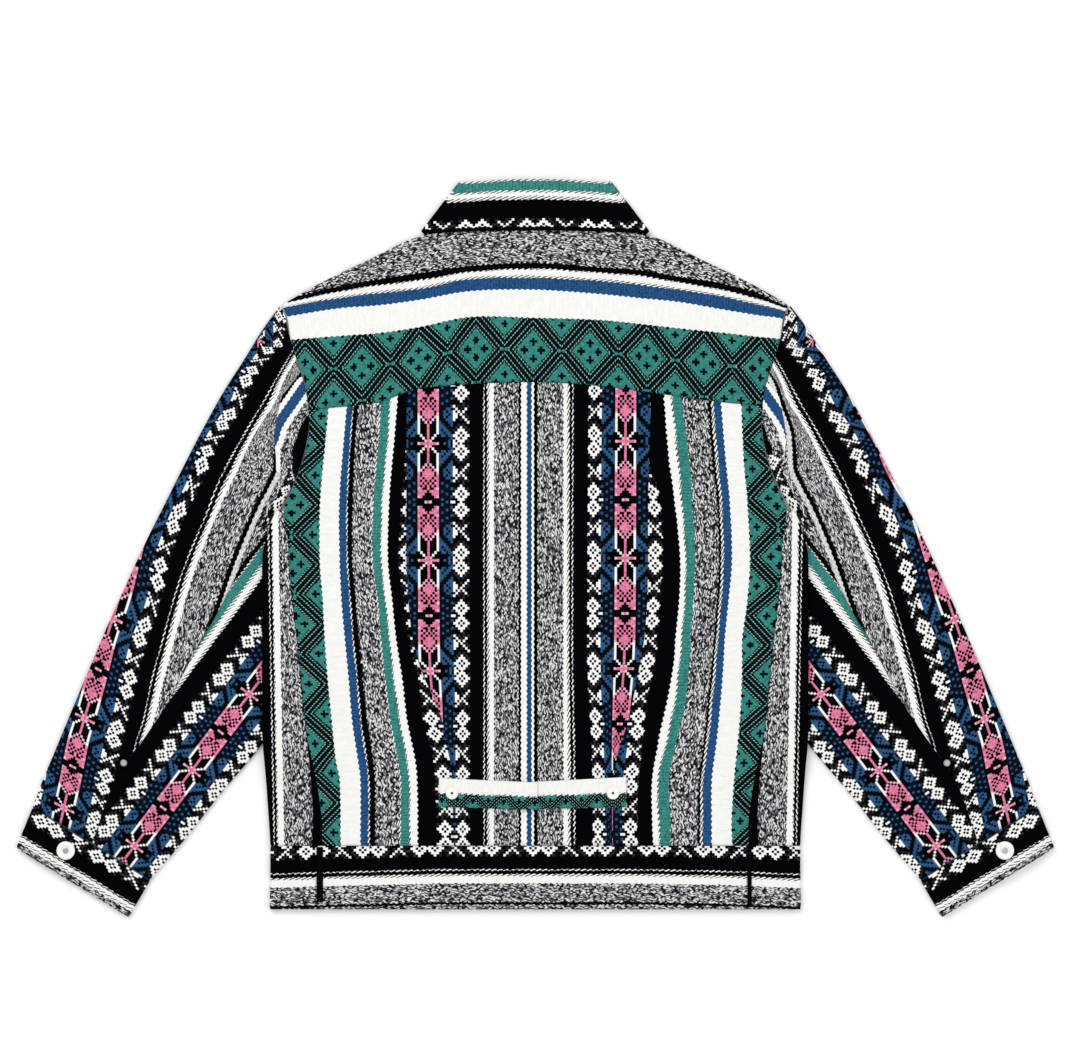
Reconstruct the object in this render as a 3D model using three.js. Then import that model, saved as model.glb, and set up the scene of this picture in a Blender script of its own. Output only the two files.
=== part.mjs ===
// Jacquard jacket laid flat, back upwards. Millimetres, +Z up, collar towards +Y.
// Every cloth piece is one closed sheet, worked out from the jacket's outline, its seams and its height.
import * as THREE from 'three';

// ---- driving dimensions ----
const CLOTH = 1.8;            // wall of the jacquard cloth
const BAND = 2.6;             // waistband and cuffs, cloth doubled and pressed
const SEAM = 0.3;             // pieces stand this far apart at a seam
const HEM_Y = -376.0;         // lower edge of the waistband
const WAIST_Y = -309.9;       // seam between body and waistband
const NECK_HALF = 104.0;      // half width of the neck at the shoulder line
const FRONT_Z = CLOTH / 2;    // middle of the front layer, which lies on the table
const BACK_Z = 5.4;           // middle of the back layer
const OVER_SLEEVE = 5.3;      // the body's sides lie this much higher, on top of the sleeves
const SIDE_BACK_RISE = -1.2;  // the two body layers lie closer together at the side fold
const NECK_RISE = 2.2;        // front layer lies on the collar's front ends
const TAB_H = 30.2;           // width of the back tab
const TAB_T = 2.0;
const TAPE_T = 1.0;
const CUFF_OVERLAP = { under: 0.24, over: 0.47 };  // ends of the cuff, as shares of its width

// ---- tables, half the jacket, x measured out from the centre line ----
const ARMHOLE = [
  { y: 252.7, x: 264.5 }, { y: 239.2, x: 258.2 }, { y: 218.4, x: 255.1 }, { y: 195.5, x: 247.8 },
  { y: 174.7, x: 240.6 }, { y: 152.9, x: 237.0 }, { y: 126.9, x: 235.4 }, { y: 103.0, x: 238.5 },
  { y: 79.0, x: 245.8 }, { y: 61.4, x: 253.0 }, { y: 43.7, x: 261.4 },
];
const SIDE_SEAM = [
  { y: 43.7, x: 261.4 }, { y: 27.0, x: 260.3 }, { y: 8.3, x: 257.2 }, { y: -12.5, x: 256.2 },
  { y: -54.1, x: 253.0 }, { y: -95.7, x: 247.8 }, { y: -137.3, x: 243.7 }, { y: -199.7, x: 237.4 },
  { y: -241.3, x: 233.3 }, { y: -282.9, x: 231.2 }, { y: -309.9, x: 232.2 },
];
const SIDE_EDGE = [
  { y: 38.5, x: 269.7 }, { y: 27.0, x: 274.9 }, { y: 13.5, x: 279.0 }, { y: -4.2, x: 283.2 },
  { y: -25.0, x: 284.2 }, { y: -74.9, x: 284.2 }, { y: -158.1, x: 284.2 }, { y: -199.7, x: 283.7 },
  { y: -230.9, x: 281.1 }, { y: -267.3, x: 278.5 }, { y: -309.9, x: 275.9 }, { y: HEM_Y, x: 276.5 },
];
const BACK_SEAM = [
  { y: 170, left: 134.0, right: 120.3 }, { y: 112.3, left: 134.0, right: 119.3 },
  { y: 49.9, left: 134.0, right: 117.2 }, { y: -12.5, left: 134.0, right: 117.2 },
  { y: -54.1, left: 131.9, right: 116.2 }, { y: -95.7, left: 127.2, right: 113.0 },
  { y: -129.0, left: 117.8, right: 107.3 }, { y: -155.0, left: 106.4, right: 102.1 },
  { y: -176.8, left: 98.1, right: 97.4 }, { y: -197.6, left: 91.8, right: 91.2 },
  { y: -215.3, left: 87.7, right: 85.5 }, { y: -241.3, left: 85.6, right: 81.8 },
  { y: -272.5, left: 84.6, right: 80.8 }, { y: -309.9, left: 84.6, right: 80.8 },
];
const SHOULDER = [
  { x: 0, y: 333.6 }, { x: 60, y: 333.6 }, { x: 94, y: 332.0 }, { x: NECK_HALF, y: 328.5 },
  { x: 112, y: 325.2 }, { x: 120, y: 323.8 }, { x: 131.4, y: 320.9 },
  { x: 175.0, y: 299.5 }, { x: 212.5, y: 281.8 }, { x: 246.8, y: 263.1 }, { x: 266.5, y: 251.5 },
];
const NECK_FRONT = [
  { x: 0, y: 249.6 }, { x: 24, y: 252.0 }, { x: 47.1, y: 257.9 }, { x: 80.4, y: 280.8 },
  { x: 99.1, y: 309.9 }, { x: NECK_HALF, y: 328.5 },
];
const YOKE_SEAM = [
  { x: -270, y: 143.8 }, { x: -238.5, y: 144.6 }, { x: -216.6, y: 145.6 }, { x: -162.6, y: 151.8 },
  { x: -127.2, y: 164.3 }, { x: -67.9, y: 170.6 }, { x: 4.9, y: 172.6 }, { x: 67.3, y: 168.5 },
  { x: 131.8, y: 160.2 }, { x: 215.0, y: 149.8 }, { x: 270, y: 149.0 },
];
// Sleeve sections: o the outer fold, b the back seam (the armhole at first), i the inner fold,
// f how far the front seam lies from the inner fold towards the outer one, and three heights.
const SLEEVE = [
  { ox: 265.6, oy: 252.2, bx: 260.2, by: 241.8, ix: 260.2, iy: 241.8, f: 0, zo: 4.2, zb: 4.6, zi: 4.6 },
  { ox: 284.2, oy: 226.6, bx: 255.6, by: 220.5, ix: 255.6, iy: 220.5, f: 0, zo: 4.6, zb: 5.3, zi: 5.3 },
  { ox: 304.0, oy: 194.5, bx: 247.4, by: 193.4, ix: 247.4, iy: 193.4, f: 0, zo: 4.8, zb: 5.4, zi: 5.4 },
  { ox: 325.8, oy: 160.2, bx: 238.1, by: 162.2, ix: 238.1, iy: 162.2, f: 0, zo: 4.8, zb: 5.4, zi: 5.4 },
  { ox: 348.7, oy: 118.6, bx: 235.8, by: 124.8, ix: 235.8, iy: 124.8, f: 0, zo: 4.8, zb: 5.2, zi: 5.2 },
  { ox: 368.5, oy: 80.1, bx: 245.6, by: 81.1, ix: 245.6, iy: 81.1, f: 0, zo: 4.8, zb: 4.9, zi: 4.9 },
  { ox: 387.2, oy: 42.6, bx: 264.6, by: 41.6, ix: 264.6, iy: 41.6, f: 0, zo: 4.8, zb: 4.2, zi: 4.2 },
  { ox: 404.9, oy: 7.3, bx: 275.9, by: 28.1, ix: 255.8, iy: 3.1, f: 0.04, zo: 4.8, zb: 4.0, zi: 3.9 },
  { ox: 423.6, oy: -33.3, bx: 300.9, by: -8.3, ix: 251.8, iy: -54.1, f: 0.08, zo: 4.8, zb: 4.5, zi: 3.9 },
  { ox: 444.4, oy: -79.0, bx: 327.9, by: -62.4, ix: 254.4, iy: -111.3, f: 0.1, zo: 4.8, zb: 4.9, zi: 3.9 },
  { ox: 465.2, oy: -127.9, bx: 354.2, by: -108.2, ix: 262.4, iy: -160.2, f: 0.1, zo: 4.8, zb: 5.0, zi: 3.9 },
  { ox: 483.9, oy: -172.6, bx: 382.0, by: -160.2, ix: 284.2, iy: -203.6, f: 0.1, zo: 4.8, zb: 5.0, zi: 4.0 },
  { ox: 501.6, oy: -215.3, bx: 410.1, by: -202.8, ix: 325.8, iy: -253.8, f: 0.1, zo: 4.8, zb: 5.0, zi: 4.6 },
  { ox: 513.0, oy: -242.3, bx: 437.1, by: -241.3, ix: 363.3, iy: -301.6, f: 0.1, zo: 4.8, zb: 5.0, zi: 4.8 },
  { ox: 523.4, oy: -269.4, bx: 461.0, by: -306.8, ix: 401.0, iy: -345.3, f: 0.1, zo: 4.9, zb: 5.1, zi: 4.9 },
];
const UNDER_FROM = 7;         // section where the under sleeve begins, below the armhole
const CUFF = {
  seam: { ox: 523.2, oy: -269.9, ix: 400.8, iy: -345.9 },
  end: { ox: 540.3, oy: -312.0, ix: 423.1, iy: -384.3 },
  z: 5.0,
};
// Collar: its side fold runs from the roll line to the free edge. w is the share of its width there.
const COLLAR_FOLD = { rx: 78.4, ry: 380.2, ex: 119.2, ey: 329.6, backRoll: 380.8, backFree: 330.2 };
const FALL_Z = { top: 7.7, low: 0.9 };
const STAND_Z = { top: 5.4, low: 3.1 };
// Front sections of the collar, from the side fold to the centre front:
// r the roll line, e the free edge of the fall, s the lower edge of the stand.
const COLLAR_FRONT = [
  { rx: 72.5, ry: 362.0, ex: 115.5, ey: 311.0, sx: 98.6, sy: 314.0 },
  { rx: 64.0, ry: 341.0, ex: 118.0, ey: 285.0, sx: 86.8, sy: 294.8 },
  { rx: 50.0, ry: 314.0, ex: 106.0, ey: 246.0, sx: 69.0, sy: 275.6 },
  { rx: 28.0, ry: 291.0, ex: 76.0, ey: 207.0, sx: 43.0, sy: 259.8 },
  { rx: 1.2, ry: 279.0, ex: 30.0, ey: 180.0, sx: 1.2, sy: 252.4 },
];
// The largest soft folds of the upper layer: a line, its width and its height.
const BODY_FOLDS = [
  { x0: -150, y0: 120, x1: -205, y1: -30, w: 26, h: 0.9 },
  { x0: 160, y0: 110, x1: 205, y1: -60, w: 26, h: 0.8 },
  { x0: -95, y0: -120, x1: -130, y1: -290, w: 22, h: 0.8 },
  { x0: 92, y0: -130, x1: 118, y1: -285, w: 22, h: 0.8 },
  { x0: -20, y0: 120, x1: 12, y1: -200, w: 34, h: 0.7 },
  { x0: -150, y0: 290, x1: -225, y1: 215, w: 30, h: 0.8 },
  { x0: 140, y0: 285, x1: 215, y1: 215, w: 30, h: 0.8 },
];
const SLEEVE_FOLDS = [
  { x0: 262, y0: 120, x1: 330, y1: 20, w: 16, h: 1.5 },
  { x0: 290, y0: 60, x1: 380, y1: -60, w: 15, h: 1.3 },
  { x0: 330, y0: 0, x1: 420, y1: -170, w: 16, h: 1.1 },
  { x0: 330, y0: -120, x1: 430, y1: -190, w: 18, h: 1.0 },
  { x0: 400, y0: -235, x1: 500, y1: -215, w: 14, h: 0.9 },
  { x0: 300, y0: 170, x1: 350, y1: 60, w: 18, h: 0.9 },
];

// ---- small helpers ----
const clamp01 = (t) => Math.min(1, Math.max(0, t));
const smooth = (a, b, t) => { const s = clamp01((t - a) / (b - a)); return s * s * (3 - 2 * s); };
const mix = (a, b, t) => a + (b - a) * t;

// Value of a column between the rows of a table, by a smooth cubic through the rows.
function along(table, key, col, at) {
  const up = table[table.length - 1][key] > table[0][key];
  const rows = up ? table : [...table].reverse();
  if (at <= rows[0][key]) return rows[0][col];
  const n = rows.length;
  if (at >= rows[n - 1][key]) return rows[n - 1][col];
  let k = 0;
  while (at > rows[k + 1][key]) k += 1;
  const slope = (i) => {
    const a = Math.max(0, i - 1), b = Math.min(n - 1, i + 1);
    return (rows[b][col] - rows[a][col]) / (rows[b][key] - rows[a][key]);
  };
  const h = rows[k + 1][key] - rows[k][key], t = (at - rows[k][key]) / h;
  const t2 = t * t, t3 = t2 * t;
  return (2 * t3 - 3 * t2 + 1) * rows[k][col] + (t3 - 2 * t2 + t) * h * slope(k)
    + (3 * t2 - 2 * t3) * rows[k + 1][col] + (t3 - t2) * h * slope(k + 1);
}
// The same, with the row number as the key.
function byRow(table, col, at) {
  const n = table.length, k = Math.min(n - 2, Math.max(0, Math.floor(at))), t = at - k;
  const v = (i) => table[Math.min(n - 1, Math.max(0, i))][col];
  const m0 = (v(k + 1) - v(k - 1)) / (k > 0 ? 2 : 1), m1 = (v(k + 2) - v(k)) / (k < n - 2 ? 2 : 1);
  const t2 = t * t, t3 = t2 * t;
  return (2 * t3 - 3 * t2 + 1) * v(k) + (t3 - 2 * t2 + t) * m0 + (3 * t2 - 2 * t3) * v(k + 1) + (t3 - t2) * m1;
}
// Height added by a table of folds at a point.
function folds(table, x, y) {
  let z = 0;
  for (const f of table) {
    const dx = f.x1 - f.x0, dy = f.y1 - f.y0, len = Math.hypot(dx, dy);
    const t = ((x - f.x0) * dx + (y - f.y0) * dy) / (len * len);
    const d = ((x - f.x0) * dy - (y - f.y0) * dx) / len;
    const ends = smooth(-0.2, 0.25, t) * (1 - smooth(0.75, 1.2, t));
    z += f.h * ends * Math.exp(-((d / f.w) ** 2));
  }
  return z;
}

// ---- heights ----
// How much the body is lifted by the sleeve under its side: nought in the middle, one at the side.
function lift(x, y) {
  const across = smooth(205, 246, Math.abs(x));
  return across * (1 - smooth(38, 96, y)) * smooth(-262, -206, y);
}
const neckLift = (x, y) => smooth(150, 182, y) * (1 - smooth(126, 150, Math.abs(x)));
const frontZ = (x, y) => FRONT_Z + OVER_SLEEVE * lift(x, y) + NECK_RISE * neckLift(x, y);
function backZ(x, y) {
  const quiet = 1 - smooth(190, 225, Math.abs(x)) * (1 - smooth(120, 160, y));
  const neck = 1 - smooth(280, 315, y) * (1 - smooth(120, 150, Math.abs(x)));
  const waist = smooth(WAIST_Y, WAIST_Y + 40, y);
  return BACK_Z + (OVER_SLEEVE + SIDE_BACK_RISE) * lift(x, y) + folds(BODY_FOLDS, x, y) * quiet * neck * waist;
}

// ---- sheets ----
// A closed sheet of cloth from a grid of points on its middle surface.
function sheet(points, thick) {
  const rows = points.length, cols = points[0].length;
  const at = (i, j) => points[Math.min(rows - 1, Math.max(0, i))][Math.min(cols - 1, Math.max(0, j))];
  const pos = [], idx = [];
  const a = new THREE.Vector3(), b = new THREE.Vector3(), n = new THREE.Vector3();
  for (let side = 0; side < 2; side += 1) {
    for (let i = 0; i < rows; i += 1) {
      for (let j = 0; j < cols; j += 1) {
        a.subVectors(at(i, j + 1), at(i, j - 1));
        b.subVectors(at(i + 1, j), at(i - 1, j));
        n.crossVectors(a, b).normalize().multiplyScalar(side === 0 ? thick / 2 : -thick / 2);
        const p = at(i, j);
        pos.push(p.x + n.x, p.y + n.y, p.z + n.z);
      }
    }
  }
  const id = (side, i, j) => side * rows * cols + i * cols + j;
  const quad = (p, q, r, s) => idx.push(p, q, r, p, r, s);
  for (let i = 0; i < rows - 1; i += 1) {
    for (let j = 0; j < cols - 1; j += 1) {
      quad(id(0, i, j), id(0, i, j + 1), id(0, i + 1, j + 1), id(0, i + 1, j));
      quad(id(1, i, j), id(1, i + 1, j), id(1, i + 1, j + 1), id(1, i, j + 1));
    }
  }
  for (let j = 0; j < cols - 1; j += 1) {
    quad(id(1, 0, j), id(1, 0, j + 1), id(0, 0, j + 1), id(0, 0, j));
    quad(id(0, rows - 1, j), id(0, rows - 1, j + 1), id(1, rows - 1, j + 1), id(1, rows - 1, j));
  }
  for (let i = 0; i < rows - 1; i += 1) {
    quad(id(0, i, 0), id(0, i + 1, 0), id(1, i + 1, 0), id(1, i, 0));
    quad(id(1, i, cols - 1), id(1, i + 1, cols - 1), id(0, i + 1, cols - 1), id(0, i, cols - 1));
  }
  return finish(pos, idx);
}
function finish(pos, idx) {
  let vol = 0;
  const v = (k) => new THREE.Vector3(pos[3 * k], pos[3 * k + 1], pos[3 * k + 2]);
  for (let k = 0; k < idx.length; k += 3) vol += v(idx[k]).dot(v(idx[k + 1]).cross(v(idx[k + 2])));
  if (vol < 0) for (let k = 0; k < idx.length; k += 3) [idx[k + 1], idx[k + 2]] = [idx[k + 2], idx[k + 1]];
  const g = new THREE.BufferGeometry();
  g.setAttribute('position', new THREE.Float32BufferAttribute(pos, 3));
  g.setIndex(idx);
  return g;
}
const steps = (n) => Array.from({ length: n + 1 }, (_, k) => k / n);

// A panel of one layer: x from inner(y) to outer(y), y from low(x) to high(x). Near its top it may
// bend round the shoulder line by a quarter turn, turn(x) of it, towards the other layer.
function layer({ inner, outer, low, high, z, cols, rows, side, turn, turnZ }) {
  return rows.map((v) => cols.map((u) => {
    const solve = (edge, guess) => {
      let y = guess;
      for (let k = 0; k < 30; k += 1) y = mix(y, edge(mix(inner(y), outer(y), u)), 0.6);
      return y;
    };
    const y0 = solve(low, WAIST_Y), y1 = solve(high, 260);
    const bend = turn ? 1 : 0;
    const vy = bend ? Math.min(1, v) : v;
    let y = mix(y0, y1, vy);
    const xTop = mix(inner(y1), outer(y1), u);
    let x = mix(inner(y), outer(y), u);
    if (!bend) return new THREE.Vector3(side * x, y, z(x, y));
    const share = turn(xTop), zTop = z(xTop, y1), r = Math.abs(turnZ(xTop, y1) - zTop) / 2;
    const run = y1 - r * share * 1.15 - CLOTH / 2 * share * 1.15;
    y = mix(y0, run, vy);
    x = mix(inner(y), outer(y), u);
    if (v <= 1) return new THREE.Vector3(side * x, y, z(x, y));
    const ang = (v - 1) * share * Math.PI * 0.42, sign = turnZ(xTop, y1) < zTop ? -1 : 1;
    return new THREE.Vector3(side * x, y + Math.sin(ang) * r * 1.15, z(x, y) + sign * (1 - Math.cos(ang)) * r);
  }));
}
const ONE = steps(1);

// Path round a fold seen from its end: across the upper layer, round the edge, back along the lower.
// p the edge, top and low the inner ends of both layers, heights at the edge for both.
function round({ edge, top, low, zEdge, zLow, zTopAt, zLowAt, half, nTop, nArc, nLow }) {
  const mid = { x: (top.x + low.x) / 2, y: (top.y + low.y) / 2 };
  const dx = mid.x - edge.x, dy = mid.y - edge.y, len = Math.hypot(dx, dy);
  const ux = dx / len, uy = dy / len, r = (zEdge - zLow) / 2;
  const cx = edge.x + ux * (r + half), cy = edge.y + uy * (r + half);
  const out = [];
  for (let k = 0; k < nTop; k += 1) {
    const t = k / nTop, x = mix(top.x, cx, t), y = mix(top.y, cy, t);
    out.push(new THREE.Vector3(x, y, zTopAt(x, y, t)));
  }
  for (let k = 0; k <= nArc; k += 1) {
    const a = (k / nArc) * Math.PI;
    out.push(new THREE.Vector3(cx - ux * Math.sin(a) * r, cy - uy * Math.sin(a) * r,
      zLow + r + Math.cos(a) * r));
  }
  for (let k = 1; k <= nLow; k += 1) {
    const t = k / nLow, x = mix(cx, low.x, t), y = mix(cy, low.y, t);
    out.push(new THREE.Vector3(x, y, zLowAt(x, y, t)));
  }
  return out;
}
const mirror = (grid, side) => grid.map((row) => row.map((p) => new THREE.Vector3(side * p.x, p.y, p.z)));

// ---- body ----
const armX = (y) => (y > 43.7 ? along(ARMHOLE, 'y', 'x', y) : along(SIDE_SEAM, 'y', 'x', y));
const edgeX = (y) => along(SIDE_EDGE, 'y', 'x', y);
const backSeam = (side, y) => along(BACK_SEAM, 'y', side < 0 ? 'left' : 'right', y);
const yokeSeam = (x) => along(YOKE_SEAM, 'x', 'y', x);
const shoulder = (x) => along(SHOULDER, 'x', 'y', Math.abs(x));
const neckFront = (x) => (Math.abs(x) > NECK_HALF ? shoulder(x) : along(NECK_FRONT, 'x', 'y', Math.abs(x)));
const turnAt = (x) => smooth(NECK_HALF + 10, NECK_HALF + 34, Math.abs(x));
const S2 = SEAM / 2;
const YOKE_S2 = 0.3;          // half the seam between curved edges, cut with different columns

function backCentre() {
  const rows = steps(24), cols = steps(8);
  return sheet(rows.map((v) => cols.map((u) => {
    const at = (y) => mix(-backSeam(-1, y) + S2, backSeam(1, y) - S2, u);
    let y1 = 170;
    for (let k = 0; k < 12; k += 1) y1 = yokeSeam(at(y1)) - YOKE_S2;
    const y = mix(WAIST_Y + S2, y1, v), x = at(y);
    return new THREE.Vector3(x, y, backZ(x, y));
  })), CLOTH);
}
function backSide(side) {
  return sheet(layer({
    inner: (y) => backSeam(side, y) + S2, outer: (y) => armX(y) - YOKE_S2,
    low: () => WAIST_Y + S2, high: (x) => yokeSeam(side * x) - YOKE_S2,
    z: (x, y) => backZ(side * x, y), cols: steps(7), rows: steps(24), side,
  }), CLOTH);
}
function yoke() {
  const rows = [...steps(7), 1.25, 1.5, 1.75, 2];
  const xs = [-1, -0.92, -0.82, -0.7, -0.58, -0.5, -0.43, -0.3, -0.15, 0, 0.15, 0.3, 0.43, 0.5, 0.58, 0.7, 0.82, 0.92, 1];
  return sheet(layer({
    inner: () => 0, outer: (y) => along(ARMHOLE, 'y', 'x', y) - YOKE_S2 - 0.6 * smooth(238, 254, y),
    low: (x) => yokeSeam(x) + YOKE_S2, high: shoulder,
    z: backZ, cols: xs, rows, side: 1, turn: turnAt, turnZ: frontZ,
  }), CLOTH);
}
function front(side) {
  const rows = [0, 0.05, 0.1, 0.17, 0.25, 0.33, 0.41, 0.48, 0.53, 0.57, 0.6, 0.63, 0.66, 0.69, 0.72, 0.75, 0.79, 0.83, 0.87, 0.91,
    0.955, 1, 1.34, 1.67, 2];
  return sheet(layer({
    inner: () => S2, outer: (y) => (y > 43.7 ? armX(y) - YOKE_S2 - 0.6 * smooth(238, 254, y) : frontSeam(y) - YOKE_S2),
    low: () => WAIST_Y + S2, high: neckFront,
    z: (x, y) => frontZ(side * x, y), cols: [0, 0.16, 0.32, 0.48, 0.6, 0.72, 0.84, 0.93, 1], rows, side,
    turn: turnAt, turnZ: (x, y) => backZ(side * x, y),
  }), CLOTH);
}
// The side panel's front seam lies a little further in than its back seam.
const frontSeam = (y) => armX(y) - 5 * smooth(43.7, -20, y);
function sidePanel(side) {
  const ys = [38.5, 34, 27, 18, 8, -4, -25, -50, -80, -110, -140, -170, -195, -212, -228, -245, -262, -285, WAIST_Y + S2];
  return sheet(mirror(ys.map((y) => round({
    edge: { x: edgeX(y), y }, top: { x: armX(y) + YOKE_S2, y }, low: { x: frontSeam(y) + YOKE_S2, y },
    zEdge: backZ(edgeX(y), y), zLow: frontZ(edgeX(y), y),
    zTopAt: (x) => backZ(x, y), zLowAt: (x) => frontZ(x, y), half: CLOTH / 2, nTop: 3, nArc: 5, nLow: 2,
  })), side), CLOTH);
}

// ---- waistband ----
const BAND_X = { left: 226.0, right: 222.0 };   // seams of the waistband's back part
const bandTopZ = (y) => mix(5.2, BACK_Z, smooth(HEM_Y, WAIST_Y, y));
function bandBack() {
  return sheet(steps(4).map((v) => steps(12).map((u) => {
    const y = mix(HEM_Y, WAIST_Y - S2, v), x = mix(-BAND_X.left + S2, BAND_X.right - S2, u);
    return new THREE.Vector3(x, y, bandTopZ(y) + 0.25);
  })), BAND);
}
function bandSide(side) {
  const from = side < 0 ? BAND_X.left : BAND_X.right;
  return sheet(mirror(steps(4).map((v) => {
    const y = mix(HEM_Y, WAIST_Y - S2, v), z = bandTopZ(y) + 0.25;
    return round({
      edge: { x: edgeX(y), y }, top: { x: from + S2, y }, low: { x: S2, y },
      zEdge: z, zLow: BAND / 2, zTopAt: () => z, zLowAt: () => BAND / 2, half: BAND / 2,
      nTop: 3, nArc: 7, nLow: 8,
    });
  }), side), BAND);
}
// A black bound strip across the waistband, lying on its surface.
const TAPE = { left: { x: -224.1, w: 6.6, y: -368.4 }, right: { x: 222.8, w: 4.4, y: -373.4 } };
function tape(row) {
  return sheet(steps(6).map((v) => steps(2).map((u) => {
    const y = mix(row.y, WAIST_Y - 1.0, v);
    return new THREE.Vector3(row.x + (u - 0.5) * row.w, y, bandTopZ(y) + 0.25 + BAND / 2 + SEAM + TAPE_T / 2);
  })), TAPE_T);
}

// ---- back tab ----
// Sections of each half from its outer end to the centre: x, upper edge and lower edge.
const TAB = {
  left: [{ x: -100.2, hi: -239.2, lo: -269.2 }, { x: -50, hi: -241.6, lo: -270.8 }, { x: 2.4, hi: -243.7, lo: -272.1 }],
  right: [{ x: 94.8, hi: -238.2, lo: -269.4 }, { x: 45, hi: -240.8, lo: -270.6 }, { x: -9.0, hi: -243.6, lo: -271.4 }],
};
function tabZ(name, x, y) {
  const over = name === 'left' ? (TAB_T + SEAM + 0.3) * smooth(-36, -12, x) : 0;
  return backZ(x, y) + CLOTH / 2 + SEAM + 0.15 + TAB_T / 2 + over;
}
function tab(name) {
  const rows = TAB[name];
  return sheet(steps(10).map((u) => steps(3).map((v) => {
    const at = u * (rows.length - 1), x = byRow(rows, 'x', at);
    const y = mix(byRow(rows, 'lo', at), byRow(rows, 'hi', at), v);
    return new THREE.Vector3(x, y, tabZ(name, x, y));
  })), TAB_T);
}

// ---- sleeves ----
function sleeveRow(at) {
  const g = (c) => byRow(SLEEVE, c, at);
  const o = { x: g('ox'), y: g('oy') }, b = { x: g('bx'), y: g('by') }, i = { x: g('ix'), y: g('iy') };
  const f = { x: mix(i.x, o.x, g('f')), y: mix(i.y, o.y, g('f')) };
  return { o, b, i, f, zo: g('zo'), zb: g('zb'), zi: g('zi') };
}
const nudge = (p, q, d) => {
  const l = Math.hypot(q.x - p.x, q.y - p.y);
  return { x: p.x + ((q.x - p.x) / l) * d, y: p.y + ((q.y - p.y) / l) * d };
};
// Soft folds fade towards both folds of the sleeve and towards the body that lies on it.
const sleeveFold = (x, y, t) => folds(SLEEVE_FOLDS, x, y) * smooth(0, 0.22, t) * smooth(268, 300, x + Math.max(0, y) * 0.25);
function sleeveUpper(side) {
  const n = SLEEVE.length - 1, rows = steps(28).map((v) => v * n);
  return sheet(mirror(rows.map((at) => {
    const s = sleeveRow(at), inArm = at <= UNDER_FROM;
    const arm = inArm ? 0.4 : S2, top = nudge(s.b, s.o, arm), low = nudge(s.f, s.o, arm);
    return round({
      edge: s.o, top, low, zEdge: s.zo, zLow: FRONT_Z,
      zTopAt: (x, y, t) => mix(s.zb, s.zo, smooth(0, 1, t)) + sleeveFold(x, y, 1 - t) * smooth(0, 0.3, t + 0.1),
      zLowAt: () => FRONT_Z, half: CLOTH / 2, nTop: 8, nArc: 5, nLow: 3,
    });
  }), side), CLOTH);
}
function sleeveUnder(side) {
  const n = SLEEVE.length - 1, rows = steps(14).map((v) => mix(UNDER_FROM, n, v));
  return sheet(mirror(rows.map((at) => {
    const s = sleeveRow(at);
    const top = nudge(s.b, s.i, S2), low = nudge(s.f, s.i, S2);
    return round({
      edge: s.i, top, low, zEdge: s.zi, zLow: FRONT_Z,
      zTopAt: (x, y, t) => mix(s.zb, s.zi, smooth(0, 1, t)),
      zLowAt: () => FRONT_Z, half: CLOTH / 2, nTop: 6, nArc: 5, nLow: 2,
    });
  }), side), CLOTH);
}

// ---- cuffs ----
// One strip: from its covered end round the inner fold, underneath, round the outer fold to its upper end.
const cuffEdge = (v) => ({
  o: { x: mix(CUFF.seam.ox, CUFF.end.ox, v), y: mix(CUFF.seam.oy, CUFF.end.oy, v) },
  i: { x: mix(CUFF.seam.ix, CUFF.end.ix, v), y: mix(CUFF.seam.iy, CUFF.end.iy, v) },
});
function cuffPoint(v, c, z) {
  const e = cuffEdge(v);
  return new THREE.Vector3(mix(e.o.x, e.i.x, c), mix(e.o.y, e.i.y, c), z);
}
const cuffTopZ = (c) => CUFF.z + (BAND + SEAM) * smooth(0.06, 0.2, c) * (c <= CUFF_OVERLAP.over + 0.01 ? 1 : 0);
function cuff(side) {
  const width = Math.hypot(CUFF.seam.ox - CUFF.seam.ix, CUFF.seam.oy - CUFF.seam.iy);
  const low = BAND / 2, r = (CUFF.z - low) / 2, pad = (r + BAND / 2) / width, rc = r / width;
  const path = [];
  for (const t of steps(5)) path.push([mix(CUFF_OVERLAP.under, 1 - pad, t), CUFF.z]);
  for (const t of steps(7).slice(1)) {
    const a = t * Math.PI;
    path.push([1 - pad + Math.sin(a) * rc, low + r + Math.cos(a) * r]);
  }
  for (const t of steps(6).slice(1)) path.push([mix(1 - pad, pad, t), low]);
  for (const t of steps(7).slice(1)) {
    const a = t * Math.PI;
    path.push([pad - Math.sin(a) * rc, low + r - Math.cos(a) * r]);
  }
  for (const t of steps(8).slice(1)) {
    const c = mix(pad, CUFF_OVERLAP.over, t);
    path.push([c, cuffTopZ(c)]);
  }
  return sheet(mirror(steps(4).map((v) => path.map(([c, z]) => cuffPoint(v, c, z))), side), BAND);
}

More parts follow.
